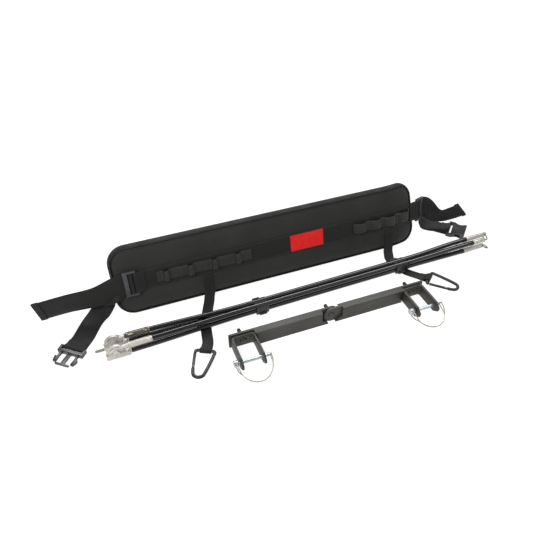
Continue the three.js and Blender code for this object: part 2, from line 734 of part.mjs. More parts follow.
const carabiner = (name, { x, y, turnDeg }) => {
  const group = placed(kit, x, y, carabinerZ, turnDeg);
  const hinge = gateHinge();
  const pinHalf = gateRadius * 0.9;
  piece(group, "carabiner_" + name, carabinerBody(), carabinerSteel);
  piece(group, "gate_" + name, gateBody(), carabinerSteel);
  piece(group, "gate_pin_" + name, upDown(hinge, pinHalf, gatePinRadius), zinc);
};
carabiner("left", carabinerLeftAt);
carabiner("right", carabinerRightAt);

// Poles
const ease = (share) => {
  const t = THREE.MathUtils.clamp(share, 0, 1);
  return t * t * (3 - 2 * t);
};
// The bundle is turned about its knuckles; its pieces keep the kit's coordinates within it.
const poles = placed(placed(kit, hubX, bundleY, 0, bundleTurnDeg), -hubX, -bundleY, 0);
const highRodZ = lowRodZ + clipPitch;
const rodLine = (side, level, x) => {
  const left = ease((x - hubX - rodStart) / (easeEnd - hubX - rodStart));
  const right = ease((x - rightEase) / (lowRodEnd - rightEase));
  const opening = ((rightSpread - clipPitch) / 2) * right;
  const inY = THREE.MathUtils.lerp(hubSpread / 2, clipPitch / 2, left) + opening;
  const hubZ = pivotZ + level * rodOffset;
  const clipZ = level < 0 ? lowRodZ : highRodZ;
  const rise = level > 0 ? (rightSpread - clipPitch) * right : 0;
  return V(x, bundleY + side * inY, THREE.MathUtils.lerp(hubZ, clipZ, left) + rise);
};
const circle = (centre, radius, sides) =>
  Array.from({ length: sides }, (_, k) => {
    const turn = (2 * Math.PI * k) / sides;
    return V(centre.x, centre.y + radius * Math.cos(turn), centre.z + radius * Math.sin(turn));
  });
const poleRod = (side, level, from, to) => {
  const between = (a, b, count) => Array.from({ length: count }, (_, i) => a + ((b - a) * i) / count);
  const stops = [...between(from, easeEnd, easeSteps), easeEnd, ...between(rightEase, to, easeSteps / 2), to];
  return loft(stops.map((x) => circle(rodLine(side, level, x), rodRadius, rodSides)));
};
const hubLine = (side) => bundleY + (side * hubSpread) / 2;
const blockEnds = [-1, 1].map((side) => hubX + blockShift + (side * blockLong) / 2);
// A round bar through a piece from front to back.
const frontToBack = (x, y, z, half, radius, sides = 14) =>
  rod(V(x, y - half, z), V(x, y + half, z), radius, sides);
const knuckleBlock = (side) => {
  const y = hubLine(side);
  const half = blockWide / 2;
  const body = upright(roundedBox(...blockEnds, blockLow, blockHigh, edgeRound), y - half, y + half);
  const neckFrom = V(blockEnds[1] - overrun, y, pivotZ - rodOffset);
  const collar = rod(neckFrom, V(blockEnds[1] + overrun, y, pivotZ - rodOffset), rodRadius * 0.85, 12);
  const cheekTop = pivotZ + pivotRadius + 2 * overrun;
  const cheek = outline([
    [hubX - discRadius * 0.55, blockHigh - overrun],
    [hubX + discRadius * 0.55, blockHigh - overrun],
    [hubX + pivotRadius, cheekTop],
    [hubX - pivotRadius, cheekTop],
  ]);
  const slotHalf = discThick / 2 + gap;
  const slot = box(
    hubX - discRadius - 2 * gap,
    hubX + discRadius + 2 * gap,
    y - slotHalf,
    y + slotHalf,
    blockLow - overrun,
    cheekTop + overrun,
  );
  const bore = frontToBack(hubX, y, pivotZ, half + overrun, pivotRadius + gap);
  const dowels = [blockEnds[0] + 2 * overrun, blockEnds[1] - 2 * overrun].map((x) => {
    const foot = V(x, y - half * 0.45, blockHigh - 2 * overrun);
    return rod(foot, foot.clone().setZ(blockHigh + overrun), dowelRadius, 10);
  });
  const whole = joined(body, collar, upright(cheek, y - half, y + half));
  return cut(whole, slot, bore, ...dowels);
};
const discShape = () => {
  const shape = new THREE.Shape();
  shape.absarc(0, 0, discRadius, 0, Math.PI * 2);
  const slit = new THREE.Path();
  const [from, to] = [rad(58), rad(158)];
  slit.absarc(0, 0, slitRadius + slitWide / 2, from, to, false);
  slit.absarc(0, 0, slitRadius - slitWide / 2, to, from, true);
  shape.holes.push(slit);
  return shape;
};
const knuckleDisc = (side) => {
  const y = hubLine(side);
  const half = discThick / 2;
  const disc = upright(discShape(), y - half, y + half, 12).translate(hubX, 0, pivotZ);
  const neckZ = pivotZ + rodOffset;
  const neckStart = V(hubX + discRadius * 0.62, y, neckZ);
  const neck = rod(neckStart, V(hubX + ferruleStart - gap, y, neckZ), neckRadius, 14);
  const bore = frontToBack(hubX, y, pivotZ, half + overrun, pivotRadius + gap);
  return cut(joined(disc, neck), bore);
};
const ferrule = (side) => {
  const start = hubX + ferruleStart;
  const line = (share) => rodLine(side, 1, start + share * ferruleLong);
  const rings = [[0, 0.72], [0.08, 1], [0.94, 1], [1, 0.93]];
  return loft(rings.map(([share, size]) => circle(line(share), ferruleRadius * size, rodSides)));
};
const drilledTube = (side, level, from) => {
  const start = rodLine(side, level, from + gap);
  const end = V(start.x + tubeLong, start.y, start.z);
  const boreStart = V(start.x + tubeLong * 0.35, start.y, start.z);
  const bore = rod(boreStart, V(end.x + overrun, end.y, end.z), tubeBore, rodSides);
  const across = frontToBack(start.x + tubeLong * 0.3, start.y, start.z, tipRadius + overrun, crossHole, 10);
  return cut(rod(start, end, tipRadius, rodSides), bore, across);
};
const eyeAt = (side, level, from) => {
  const start = rodLine(side, level, from + gap);
  return V(start.x + sleeveLong + eyeLong - eyeEdge, start.y, start.z);
};
const eyeSleeve = (side, level, from) => {
  const start = rodLine(side, level, from + gap);
  const end = V(start.x + sleeveLong, start.y, start.z);
  const eye = eyeAt(side, level, from);
  const levels = [start.z - eyeHigh / 2, start.z + eyeHigh / 2];
  const shape = roundedBox(end.x - 2 * overrun, end.x + eyeLong, ...levels, eyeHigh / 2.2);
  const tab = upright(shape, start.y - eyeThick / 2, start.y + eyeThick / 2);
  const hole = frontToBack(eye.x, eye.y, eye.z, tipRadius, eyeHole, 12);
  return cut(joined(rod(start, end, tipRadius, rodSides, tipRadius * 0.9), tab), hole);
};
const pullRing = (side, level, from, droopDeg) => {
  const eye = eyeAt(side, level, from);
  const made = new THREE.TorusGeometry(ringRadius, ringWire, 6, 22).translate(ringRadius, 0, 0);
  return made.rotateY(rad(droopDeg)).translate(eye.x, eye.y, eye.z);
};
const eyeRodEnd = highRodEnd - rearEyeShort;
for (const [name, side] of [["rear", 1], ["front", -1]]) {
  const pin = frontToBack(hubX, hubLine(side), pivotZ, blockWide / 2, pivotRadius);
  const lowStart = blockEnds[1] + overrun + gap;
  const highStart = hubX + ferruleStart + ferruleLong + gap;
  const highEnd = side > 0 ? eyeRodEnd : highRodEnd;
  piece(poles, "rod_" + name + "_top", poleRod(side, 1, highStart, highEnd), rodBlack);
  piece(poles, "rod_" + name + "_bottom", poleRod(side, -1, lowStart, lowRodEnd), rodBlack);
  piece(poles, "knuckle_block_" + name, knuckleBlock(side), castSilver);
  piece(poles, "knuckle_disc_" + name, knuckleDisc(side), castSilver);
  piece(poles, "knuckle_pin_" + name, pin, zinc);
  piece(poles, "ferrule_" + name, ferrule(side), castSilver);
}
piece(poles, "tube_end_rear", drilledTube(1, -1, lowRodEnd), castSilver);
piece(poles, "tube_end_front", drilledTube(-1, 1, highRodEnd), castSilver);
piece(poles, "eye_end_rear", eyeSleeve(1, 1, eyeRodEnd), castSilver);
piece(poles, "eye_end_front", eyeSleeve(-1, -1, lowRodEnd), castSilver);
piece(poles, "pull_ring_rear", pullRing(1, 1, eyeRodEnd, ringHangDeg), zinc);
piece(poles, "pull_ring_front", pullRing(-1, -1, lowRodEnd, ringDroopDeg), zinc);
const studLine = V(blockEnds[0], bundleY + hubSpread / 2 - blockWide * 0.25, blockLow + studRadius + gap);
const [studStart, studEnd] = [-studLong, -gap].map((x) => studLine.clone().add(V(x, 0, 0)));
piece(poles, "knuckle_stud", rod(studStart, studEnd, studRadius, 12), zinc);

// Clips: closed seats for the lower rods, seats open at the top for the upper ones
const poleClip = (x) => {
  const half = clipPitch / 2 + rodRadius + gap + clipWall;
  const seat = rodRadius + gap;
  const [low, high] = [lowRodZ - seat - clipWall + gap, highRodZ + rodRadius * 0.55];
  const body = slab(roundedBox(-half, half, low, high, clipCorner), clipLong);
  const lug = (y, z, from, to) => rod(V(y, z, from * clipLong), V(y, z, to * clipLong), nubRadius, 12);
  const rearLug = lug(half + nubRadius / 4, high - nubRadius, 0, 0.55);
  const frontLug = lug(-half - nubRadius / 4, low + nubRadius, 0.2, 0.8);
  const tools = [-1, 1].flatMap((side) => {
    const y = (side * clipPitch) / 2;
    return [
      rod(V(y, lowRodZ, -overrun), V(y, lowRodZ, clipLong + overrun), seat, rodSides),
      rod(V(y, highRodZ, -overrun), V(y, highRodZ, clipLong + overrun), seat, rodSides),
      box(y - seat, y + seat, highRodZ, high + nubRadius + overrun, -overrun, clipLong + overrun),
    ];
  });
  const made = cut(joined(body, rearLug, frontLug), ...tools);
  return made.rotateX(Math.PI / 2).rotateZ(Math.PI / 2).translate(x - clipLong / 2, bundleY, 0);
};
piece(poles, "pole_clip_left", poleClip(clipLeftX), blackPlastic);
piece(poles, "pole_clip_right", poleClip(clipRightX), blackPlastic);

// Hitch bar
const barMiddle = barHigh / 2;
const plateFront = hitchY - plateThick;
const clevisSweep = Math.hypot(clevisWide / 2, clevisBar / 2) + clevisClear;
const boltBore = (x) =>
  frontToBack(x, hitchY, barMiddle, channelDeep + overrun + plateThick + 2 * gap, boltRadius + gap);
const roundCut = (x, radius, y0, y1) => rod(V(x, y0, barMiddle), V(x, y1, barMiddle), radius, 36);
const halfBar = (clevisX, side) => {
  // The left half's plate lies behind the right half's at the centre bolt.
  const depthBack = side < 0 ? hitchY : hitchY - plateThick - gap;
  const ends = [clevisX + side * endReach, hitchCentreX - side * barMiddle * 0.02].sort((a, b) => a - b);
  const plate = upright(roundedBox(...ends, 0, barHigh, edgeRound), plateFront, hitchY);
  const tab = roundCut(hitchCentreX, barMiddle, depthBack, depthBack - plateThick);
  const innerEnd = hitchCentreX + side * centreCut;
  const outerEnd = clevisX - side * clevisSweep * 0.8;
  const span = [innerEnd, outerEnd].sort((a, b) => a - b);
  const channel = box(...span, plateFront - channelDeep, plateFront + gap, 0, barHigh);
  const hollow = box(
    span[0] - overrun,
    span[1] + overrun,
    plateFront - channelDeep + channelWall,
    plateFront,
    channelWall,
    barHigh - channelWall,
  );
  const web = channelDeep / 2;
  const core = box(span[0] + centreCut, span[1] - centreCut, plateFront - web, plateFront + gap, 0, barHigh);
  const centreDepth = plateFront - 2 * gap - (side < 0 ? 0 : plateThick);
  const trims = [
    roundCut(clevisX, clevisSweep, plateFront, plateFront - channelDeep - overrun),
    roundCut(hitchCentreX, lowCut, centreDepth, plateFront - channelDeep - overrun),
  ];
  const underEnds = [innerEnd + side * overrun, hitchCentreX + side * boltRadius].sort((a, b) => a - b);
  const under = box(...underEnds, plateFront - channelDeep, centreDepth, 0, barMiddle - boltHead);
  const ribbed = cut(joined(cut(channel, hollow), core, under), ...trims);
  if (side < 0) return cut(joined(plate, tab, ribbed), boltBore(clevisX), boltBore(hitchCentreX));
  // The right half's plate steps forward past the left half's tab.
  const clear = roundCut(hitchCentreX, centreCut, hitchY + overrun, plateFront - gap);
  const joggleEnd = hitchCentreX + centreCut + overrun;
  const joggle = box(hitchCentreX, joggleEnd, depthBack - plateThick, depthBack, 0, barHigh);
  const whole = joined(cut(plate, clear), tab, joggle, ribbed);
  return cut(whole, clear, boltBore(clevisX), boltBore(hitchCentreX));
};
piece(kit, "hitch_bar_left", halfBar(hitchLeftX, -1), darkSteel);
piece(kit, "hitch_bar_right", halfBar(hitchRightX, 1), darkSteel);

// Clevises: flat bar bent to a U with pointed legs
const clevisBack = plateFront - gap;
const clevisFront = clevisBack - clevisLong;
const pinY = clevisBack - pinBack;
// A round bar along the lock pin's line.
const sideToSide = (x0, x1, radius, endRadius) =>
  rod(V(x0, pinY, barMiddle), V(x1, pinY, barMiddle), radius, 16, endRadius);
const clevis = (x) => {
  const half = clevisWide / 2;
  const inner = half - clevisThick;
  const shape = new THREE.Shape();
  const bendY = clevisBack - clevisBend;
  const bend = (side, radius, from, to) =>
    shape.absarc(side * (half - clevisBend), bendY, radius, from, to, to < from);
  shape.moveTo(-half, clevisFront).lineTo(-inner, clevisFront);
  bend(-1, clevisBend - clevisThick, Math.PI, Math.PI / 2);
  bend(1, clevisBend - clevisThick, Math.PI / 2, 0);
  shape.lineTo(inner, clevisFront).lineTo(half, clevisFront);
  bend(1, clevisBend, 0, Math.PI / 2);
  bend(-1, clevisBend, Math.PI / 2, Math.PI);
  const low = barMiddle - clevisBar / 2;
  const body = slab(shape, clevisBar, 5).translate(x, 0, low);
  const tipHalf = (clevisBar * tipWideShare) / 2;
  const trim = (up) => {
    const edge = barMiddle + (up * clevisBar) / 2;
    const corner = new THREE.Shape([
      new THREE.Vector2(clevisFront - overrun, barMiddle + up * tipHalf),
      new THREE.Vector2(clevisFront, barMiddle + up * tipHalf),
      new THREE.Vector2(clevisFront + tipLong, edge),
      new THREE.Vector2(clevisFront + tipLong, edge + up * overrun),
      new THREE.Vector2(clevisFront - overrun, edge + up * overrun),
    ]);
    // Drawn in Y and Z, then run along X.
    const through = slab(corner, clevisWide + 2 * overrun).rotateX(Math.PI / 2).rotateZ(Math.PI / 2);
    return through.translate(x - half - overrun, 0, 0);
  };
  const pinBore = sideToSide(x - half - overrun, x + half + overrun, pinRadius + gap);
  const boltHole = frontToBack(x, clevisBack, barMiddle, clevisThick + overrun, boltRadius + gap);
  return cut(body, trim(1), trim(-1), pinBore, boltHole);
};
const carriageBolt = (x, front) => {
  const headFrom = front - gap;
  const shankEnd = V(x, headFrom - boltHeadThick / 3, barMiddle);
  const shank = rod(V(x, hitchY + studReach, barMiddle), shankEnd, boltRadius, 14);
  const profile = [
    [0, 0],
    [boltHead, 0],
    [boltHead * 0.85, boltHeadThick * 0.6],
    [boltHead * 0.5, boltHeadThick * 0.92],
    [0, boltHeadThick],
  ].map(([r, out]) => new THREE.Vector2(r, out));
  const head = new THREE.LatheGeometry(profile, 20).rotateX(Math.PI).translate(x, headFrom, barMiddle);
  return joined(shank, head);
};
const hexNut = (x) => {
  const from = hitchY + gap;
  const body = rod(V(x, from, barMiddle), V(x, from + nutThick, barMiddle), nutRadius, 6);
  return cut(body, frontToBack(x, from, barMiddle, nutThick + overrun, boltRadius + gap));
};
const pinHalf = clevisWide / 2 + pinOver;
const headPlace = -pinHalf + pinHeadLong / 2;
const tipPlace = pinHalf + bailWire + 2 * gap;
const lockPin = (x) => {
  const [start, end] = [x - pinHalf, x + pinHalf];
  const head = sideToSide(start, start + pinHeadLong, pinHeadRadius);
  const shank = sideToSide(start, end - pinRadius / 2, pinRadius);
  const nose = sideToSide(end - pinRadius, end, pinRadius, pinRadius * 0.6);
  return joined(head, shank, nose);
};
// The bail is two strands of spring wire that part round the head and round the tip of the pin.
const bail = (x) => {
  const strand = (up) => {
    const points = [];
    const steps = 12;
    for (let i = 0; i <= steps; i++) {
      const share = i / steps;
      const turn = Math.PI * (1 - share);
      const half = (tipPlace - headPlace) / 2;
      const apart = Math.max(0, 1 - (Math.min(share, 1 - share) / bailForkShare) ** 2);
      const atHead = share < 0.5;
      const spread = atHead ? pinHeadRadius + bailWire + 2 * gap : pinRadius + bailWire + 2 * gap;
      const lift = up * (bailWire * 0.6 + (spread - bailWire * 0.6) * apart);
      points.push(V(headPlace + half * (1 + Math.cos(turn)), -bailOut * Math.sin(turn) ** 0.9, lift));
    }
    return wire(new THREE.CatmullRomCurve3(points), bailWire, 20, 5);
  };
  const tipSpread = pinRadius + bailWire + 2 * gap;
  const reach = tipSpread + bailWire / 2;
  const across = rod(V(tipPlace, 0, -reach), V(tipPlace, 0, reach), bailWire, 8);
  const made = joined(strand(1), strand(-1), across);
  return made.rotateX(rad(bailDroopDeg)).translate(x, pinY, barMiddle);
};
for (const [name, x] of [["left", hitchLeftX], ["right", hitchRightX]]) {
  piece(kit, "clevis_" + name, clevis(x), darkSteel);
  piece(kit, "hitch_bolt_" + name, carriageBolt(x, clevisBack - clevisThick), darkSteel);
  piece(kit, "hitch_nut_" + name, hexNut(x), zinc);
  piece(kit, "lock_pin_" + name, lockPin(x), zinc);
  piece(kit, "pin_bail_" + name, bail(x), zinc);
}
piece(kit, "hitch_bolt_centre", carriageBolt(hitchCentreX, plateFront - gap - plateThick), darkSteel);
piece(kit, "hitch_nut_centre", hexNut(hitchCentreX), zinc);

// The origin lies on the floor at the middle of the whole layout.
const layout = new THREE.Group();
kit.position.set(layoutX, layoutY, 0);
layout.add(kit);

export default layout;
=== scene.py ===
# %% [markdown]
# # A sled-pulling kit, dressed in Blender
#
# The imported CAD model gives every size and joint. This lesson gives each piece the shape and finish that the
# eye needs: cloth, webbing, moulded plastic, braided rods, cast aluminium, zinc and powder-coated steel.

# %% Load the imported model
import json
import math

import bmesh
import bpy
from mathutils import Matrix, Quaternion, Vector


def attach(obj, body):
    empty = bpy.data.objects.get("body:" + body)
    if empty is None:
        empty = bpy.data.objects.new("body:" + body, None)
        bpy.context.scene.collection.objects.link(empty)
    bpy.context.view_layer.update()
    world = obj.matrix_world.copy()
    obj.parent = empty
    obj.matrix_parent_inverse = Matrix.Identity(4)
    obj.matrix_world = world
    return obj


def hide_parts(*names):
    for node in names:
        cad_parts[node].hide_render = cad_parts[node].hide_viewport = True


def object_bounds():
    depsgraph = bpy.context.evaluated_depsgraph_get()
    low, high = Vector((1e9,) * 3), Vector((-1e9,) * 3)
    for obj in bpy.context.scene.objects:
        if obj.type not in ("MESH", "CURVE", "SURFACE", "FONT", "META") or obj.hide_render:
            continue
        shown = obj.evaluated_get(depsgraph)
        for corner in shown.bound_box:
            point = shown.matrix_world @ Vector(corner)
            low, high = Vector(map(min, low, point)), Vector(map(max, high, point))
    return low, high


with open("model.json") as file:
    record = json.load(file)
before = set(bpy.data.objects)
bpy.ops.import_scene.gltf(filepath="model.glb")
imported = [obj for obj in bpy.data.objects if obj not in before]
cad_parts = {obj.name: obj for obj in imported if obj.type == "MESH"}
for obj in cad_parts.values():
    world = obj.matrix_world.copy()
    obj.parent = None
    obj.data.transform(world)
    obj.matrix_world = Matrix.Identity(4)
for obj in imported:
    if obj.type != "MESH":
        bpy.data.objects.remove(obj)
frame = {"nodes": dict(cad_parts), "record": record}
cad_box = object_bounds()
nodes = frame["nodes"]
print("CAD nodes:", len(nodes))
print("CAD box:", [[round(value, 3) for value in corner] for corner in cad_box])

# %% [markdown]
# ## Camera, floor and light
#
# A camera is three facts: where it stands, where it looks and how wide it sees. The scene is a product picture,
# so the floor and the air behind it are plain white and the light is wide and soft.

# %% Camera at the photograph's angle
scene = bpy.context.scene
scene.view_settings.view_transform = "Standard"
camera_data = bpy.data.cameras.new("photo_camera")
camera_data.lens, camera_data.sensor_width, camera_data.sensor_fit = 36.38, 36, "HORIZONTAL"
camera = bpy.data.objects.new("photo_camera", camera_data)
camera.location = (-0.3849, -0.8374, 0.9073)
look, roll = Vector((0.2689, 0.7095, -0.6514)), 0.0059
camera.rotation_euler = (Quaternion(look, roll) @ look.to_track_quat("-Z", "Y")).to_euler()
scene.collection.objects.link(camera)
scene.camera = camera
print("camera looks along", tuple(round(value, 3) for value in look))


# %% Small helpers for building node trees
def wire_up(tree, source, socket):
    """Link a node or a socket to another, or set a plain value."""
    if isinstance(source, bpy.types.Node):
        source = source.outputs[0]
    if isinstance(source, bpy.types.NodeSocket):
        tree.links.new(source, socket)
    else:
        socket.default_value = source


def feed(tree, node, inputs):
    """Fill a node's inputs by name or number."""
    for key, source in inputs.items():
        wire_up(tree, source, node.inputs[key])


def add_node(tree, kind, inputs=None, **settings):
    """Make a node, set its options and fill its inputs."""
    node = tree.nodes.new(kind)
    for option, value in settings.items():
        setattr(node, option, value)
    feed(tree, node, inputs or {})
    return node


print("node helpers:", wire_up.__name__, feed.__name__, add_node.__name__)


# %% Small helpers for values and colours
def calc(tree, operation, *sources):
    """The result of a Math node with its inputs in order."""
    return add_node(tree, "ShaderNodeMath", dict(enumerate(sources)), operation=operation).outputs[0]


def blend_colours(tree, share, first, second):
    """A colour between two, by a share from 0 to 1."""
    node = add_node(tree, "ShaderNodeMix", data_type="RGBA")
    feed(tree, node, {0: share, 6: first, 7: second})
    return node.outputs[2]


def spread(tree, value, low, high, out_low=0.0, out_high=1.0):
    """Map a value between two limits to two others, held at the ends."""
    keys = ("Value", "From Min", "From Max", "To Min", "To Max")
    return add_node(tree, "ShaderNodeMapRange", dict(zip(keys, (value, low, high, out_low, out_high)))).outputs[0]


def from_hex(code):
    """A colour as it is written on a screen, turned into Blender's linear numbers."""
    channels = [int(code[i : i + 2], 16) / 255 for i in (0, 2, 4)]
    return (*(c / 12.92 if c <= 0.04045 else ((c + 0.055) / 1.055) ** 2.4 for c in channels), 1)


print("mid grey is", round(from_hex("808080")[0], 3), "in Blender's numbers")

# %% White floor that keeps a soft shadow
def blank(owner):
    """The emptied node tree of a material or a world."""
    owner.use_nodes = True
    owner.node_tree.nodes.clear()
    return owner.node_tree


def seen_by(tree, *kinds):
    """1 for rays of these kinds, and 0 for all others."""
    rays = add_node(tree, "ShaderNodeLightPath").outputs
    seen = rays[kinds[0]]
    for kind in kinds[1:]:
        seen = calc(tree, "MAXIMUM", seen, rays[kind])
    return seen


WHITE, PAPER, SHADED = (1, 1, 1, 1), (0.8, 0.8, 0.8, 1), (0.42, 0.42, 0.42, 1)
FLOOR_REACH, FLOOR_GLOW, AMBIENT = 9.0, 0.87, 0.34
floor_paint = bpy.data.materials.new("white_floor")
tree = blank(floor_paint)
seen = seen_by(tree, "Is Camera Ray", "Is Glossy Ray", "Is Transmission Ray")
paper = add_node(tree, "ShaderNodeBsdfDiffuse", {"Color": PAPER})
shaded = add_node(tree, "ShaderNodeBsdfDiffuse", {"Color": SHADED})
glow = add_node(tree, "ShaderNodeEmission", {"Color": WHITE, "Strength": FLOOR_GLOW})
bright = add_node(tree, "ShaderNodeAddShader", {0: shaded, 1: glow})
either = add_node(tree, "ShaderNodeMixShader", {0: seen, 1: paper, 2: bright})
add_node(tree, "ShaderNodeOutputMaterial", {"Surface": either})

floor_mesh = bpy.data.meshes.new("floor")
corners = [(x * FLOOR_REACH, y * FLOOR_REACH, cad_box[0][2]) for x, y in ((-1, -1), (1, -1), (1, 1), (-1, 1))]
floor_mesh.from_pydata(corners, [], [(0, 1, 2, 3)])
floor_mesh.materials.append(floor_paint)
floor = bpy.data.objects.new("floor", floor_mesh)
scene.collection.objects.link(floor)
print("floor at", round(corners[0][2], 5), "m")

# %% White surroundings, three soft lamps and a strip
scene.world = bpy.data.worlds.new("studio")
tree = blank(scene.world)
seen = seen_by(tree, "Is Camera Ray", "Is Transmission Ray")
ambient = add_node(tree, "ShaderNodeBackground", {"Color": WHITE, "Strength": AMBIENT})
white = add_node(tree, "ShaderNodeBackground", {"Color": WHITE, "Strength": 1.0})
either = add_node(tree, "ShaderNodeMixShader", {0: seen, 1: ambient, 2: white})
add_node(tree, "ShaderNodeOutputWorld", {"Surface": either})


def soft_lamp(name, place, aim, size, power):
    """A square softbox that faces a point, so many metres wide and with its power in watts."""
    data = bpy.data.lights.new(name, "AREA")
    data.size, data.energy = size, power
    lamp = bpy.data.objects.new(name, data)
    lamp.location = place
    lamp.rotation_euler = (Vector(aim) - Vector(place)).to_track_quat("-Z", "Y").to_euler()
    scene.collection.objects.link(lamp)
    return lamp


soft_lamp("key_lamp", (-1.2, -0.9, 1.5), aim=(0, 0, 0), size=0.6, power=24)
soft_lamp("rear_lamp", (0.5, 1.5, 1.5), aim=(0, 0, 0.05), size=0.4, power=5)
soft_lamp("front_lamp", (0.9, -1.6, 1.1), aim=(0, 0, 0.05), size=1.2, power=5)
# A long strip overhead is seen only as a gloss: it draws the line of light that runs along each rod.
strip = soft_lamp("strip_lamp", (0.5, 0.75, 1.6), aim=(0.05, 0, 0), size=3.0, power=48)
strip.data.shape, strip.data.size_y = "RECTANGLE", 0.6
strip.visible_diffuse = False
print("lamps:", [lamp.name for lamp in bpy.data.lights])

# %% [markdown]
# ## Finishes
#
# Each finish is one material, and its pattern is drawn by nodes at the size of the real one. Webbing and tape
# take their weave from a map in metres that each strap carries, so the ribs follow every bend. The rods carry
# two attributes, the distance along the rod and the way round it, so the braid winds round them. Rigid pieces
# read Object coordinates, which is enough for grain and casting marks. Coated steel has painted shade on its
# edges: the faces that a bevel makes are marked, and only they take the darker second tone, a little smoother.


# %% What every finish starts from
def finish(name, colour, roughness, metallic=0.0, **sockets):
    """A Principled material with plain values on its own sockets."""
    made = bpy.data.materials.new(name)
    made.use_nodes = True
    tree, shader = made.node_tree, made.node_tree.nodes["Principled BSDF"]
    feed(tree, shader, {"Base Color": from_hex(colour), "Roughness": roughness, "Metallic": metallic})
    feed(tree, shader, {key.replace("_", " "): value for key, value in sockets.items()})
    return made, tree, shader


def emboss(tree, shader, height, depth, strength):
    """Raise the surface by a height from 0 to 1, so many metres deep."""
    bump = add_node(tree, "ShaderNodeBump", {"Strength": strength, "Distance": depth, "Height": height})
    feed(tree, shader, {"Normal": bump})


def speckle(tree, scale, detail=3.0):
    """Noise at so many cells to the metre, fixed to the piece."""
    place = add_node(tree, "ShaderNodeTexCoord").outputs["Object"]
    return add_node(tree, "ShaderNodeTexNoise", {"Vector": place, "Scale": scale, "Detail": detail}).outputs[0]


def weigh(tree, first, second, share):
    """A share of one value and the rest of another."""
    return calc(tree, "MULTIPLY_ADD", first, share, calc(tree, "MULTIPLY", second, 1 - share))


def tint(tree, shader, tone, dark, light, low=0.35, high=0.65):
    """Colour that goes from dark to light while a tone goes from low to high."""
    shade = blend_colours(tree, spread(tree, tone, low, high), from_hex(dark), from_hex(light))
    feed(tree, shader, {"Base Color": shade})
    return shade


print("a finish starts plain and gets:", tint.__name__, speckle.__name__, emboss.__name__)


# %% Woven cloth of the pad, and the red cloth of the bare patch
def plain_weave(tree, pitch):
    """Two crossing sets of yarns, high where one runs over the other."""
    axes = add_node(tree, "ShaderNodeSeparateXYZ", {0: add_node(tree, "ShaderNodeTexCoord").outputs["Object"]})
    weft, warp = (
        calc(tree, "SINE", calc(tree, "MULTIPLY", axes.outputs[axis], 2 * math.pi / pitch)) for axis in (0, 2)
    )
    return calc(tree, "MULTIPLY_ADD", calc(tree, "MULTIPLY", weft, warp), 0.5, 0.5)


pad_cloth, tree, shader = finish("pad_cloth", "232423", 0.82, Sheen_Weight=0.1, Specular_IOR_Level=0.3)
weave, fuzz = plain_weave(tree, 0.0016), speckle(tree, 900, 2)
tint(tree, shader, weigh(tree, weave, speckle(tree, 14), 0.4), "222321", "32332f", 0.3, 0.75)
feed(tree, shader, {"Roughness": spread(tree, fuzz, 0.3, 0.7, 0.74, 0.9)})
emboss(tree, shader, calc(tree, "MULTIPLY_ADD", fuzz, 0.5, weave), 0.00012, 0.7)

label_cloth, tree, shader = finish("red_cloth", "e5221f", 0.62, Specular_IOR_Level=0.2)
tint(tree, shader, speckle(tree, 60), "e02020", "f42c2b", 0.3, 0.7)
emboss(tree, shader, plain_weave(tree, 0.0007), 0.00008, 0.6)
print("cloths:", pad_cloth.name, label_cloth.name)


# %% Webbing and tape, ribbed along their length, and sewing thread
def ribbed_webbing(name, dark, light, rib, roughness=0.72, gloss=0.3):
    """Ribs along the strap, crossed by the slant of its weave, drawn on the strap's own map."""
    made, tree, shader = finish(name, light, roughness, Sheen_Weight=0.06, Specular_IOR_Level=gloss)
    weave_map = add_node(tree, "ShaderNodeUVMap", uv_map="weave")
    across, along, _ = add_node(tree, "ShaderNodeSeparateXYZ", {0: weave_map}).outputs
    turns = 2 * math.pi / rib
    lean = calc(tree, "PINGPONG", calc(tree, "MULTIPLY", across, 1 / (6 * rib)), 1.0)
    ribs = calc(tree, "SINE", calc(tree, "MULTIPLY", across, turns))
    slant = calc(tree, "MULTIPLY_ADD", along, turns * 0.8, calc(tree, "MULTIPLY", lean, 9.0))
    height = calc(tree, "MULTIPLY_ADD", calc(tree, "ADD", ribs, calc(tree, "SINE", slant)), 0.25, 0.5)
    cloud = speckle(tree, 45)
    tint(tree, shader, weigh(tree, height, cloud, 0.6), dark, light, 0.3, 0.75)
    feed(tree, shader, {"Roughness": spread(tree, cloud, 0.3, 0.7, roughness - 0.08, roughness + 0.1)})
    emboss(tree, shader, height, 0.00022, 0.8)
    return made


def sewing_thread(name, colour, dark, light, roughness):
    """Thread whose tone changes from stitch to stitch."""
    made, tree, shader = finish(name, colour, roughness)
    tint(tree, shader, speckle(tree, 1500, 2), dark, light, 0.0, 1.0)
    return made


webbing = ribbed_webbing("woven_webbing", "121211", "1f1e1d", rib=0.0022)
# The loop tape is drawn lighter than the webbing. That is painted light, for loops that bulge up towards the lamps.
loop_tape_painted_light = ribbed_webbing("loop_tape_painted_light", "161615", "282725", rib=0.002, roughness=0.52, gloss=0.42)
binding_tape = ribbed_webbing("binding_tape", "0f0f0e", "1b1a19", rib=0.0015)
stitch_thread = sewing_thread("stitch_thread", "3b3b3a", "2c2c2b", "4a4a48", roughness=0.6)
red_thread = sewing_thread("red_thread", "b81a16", "a31411", "c9211c", roughness=0.55)
print("webbing:", webbing.name, loop_tape_painted_light.name, binding_tape.name)


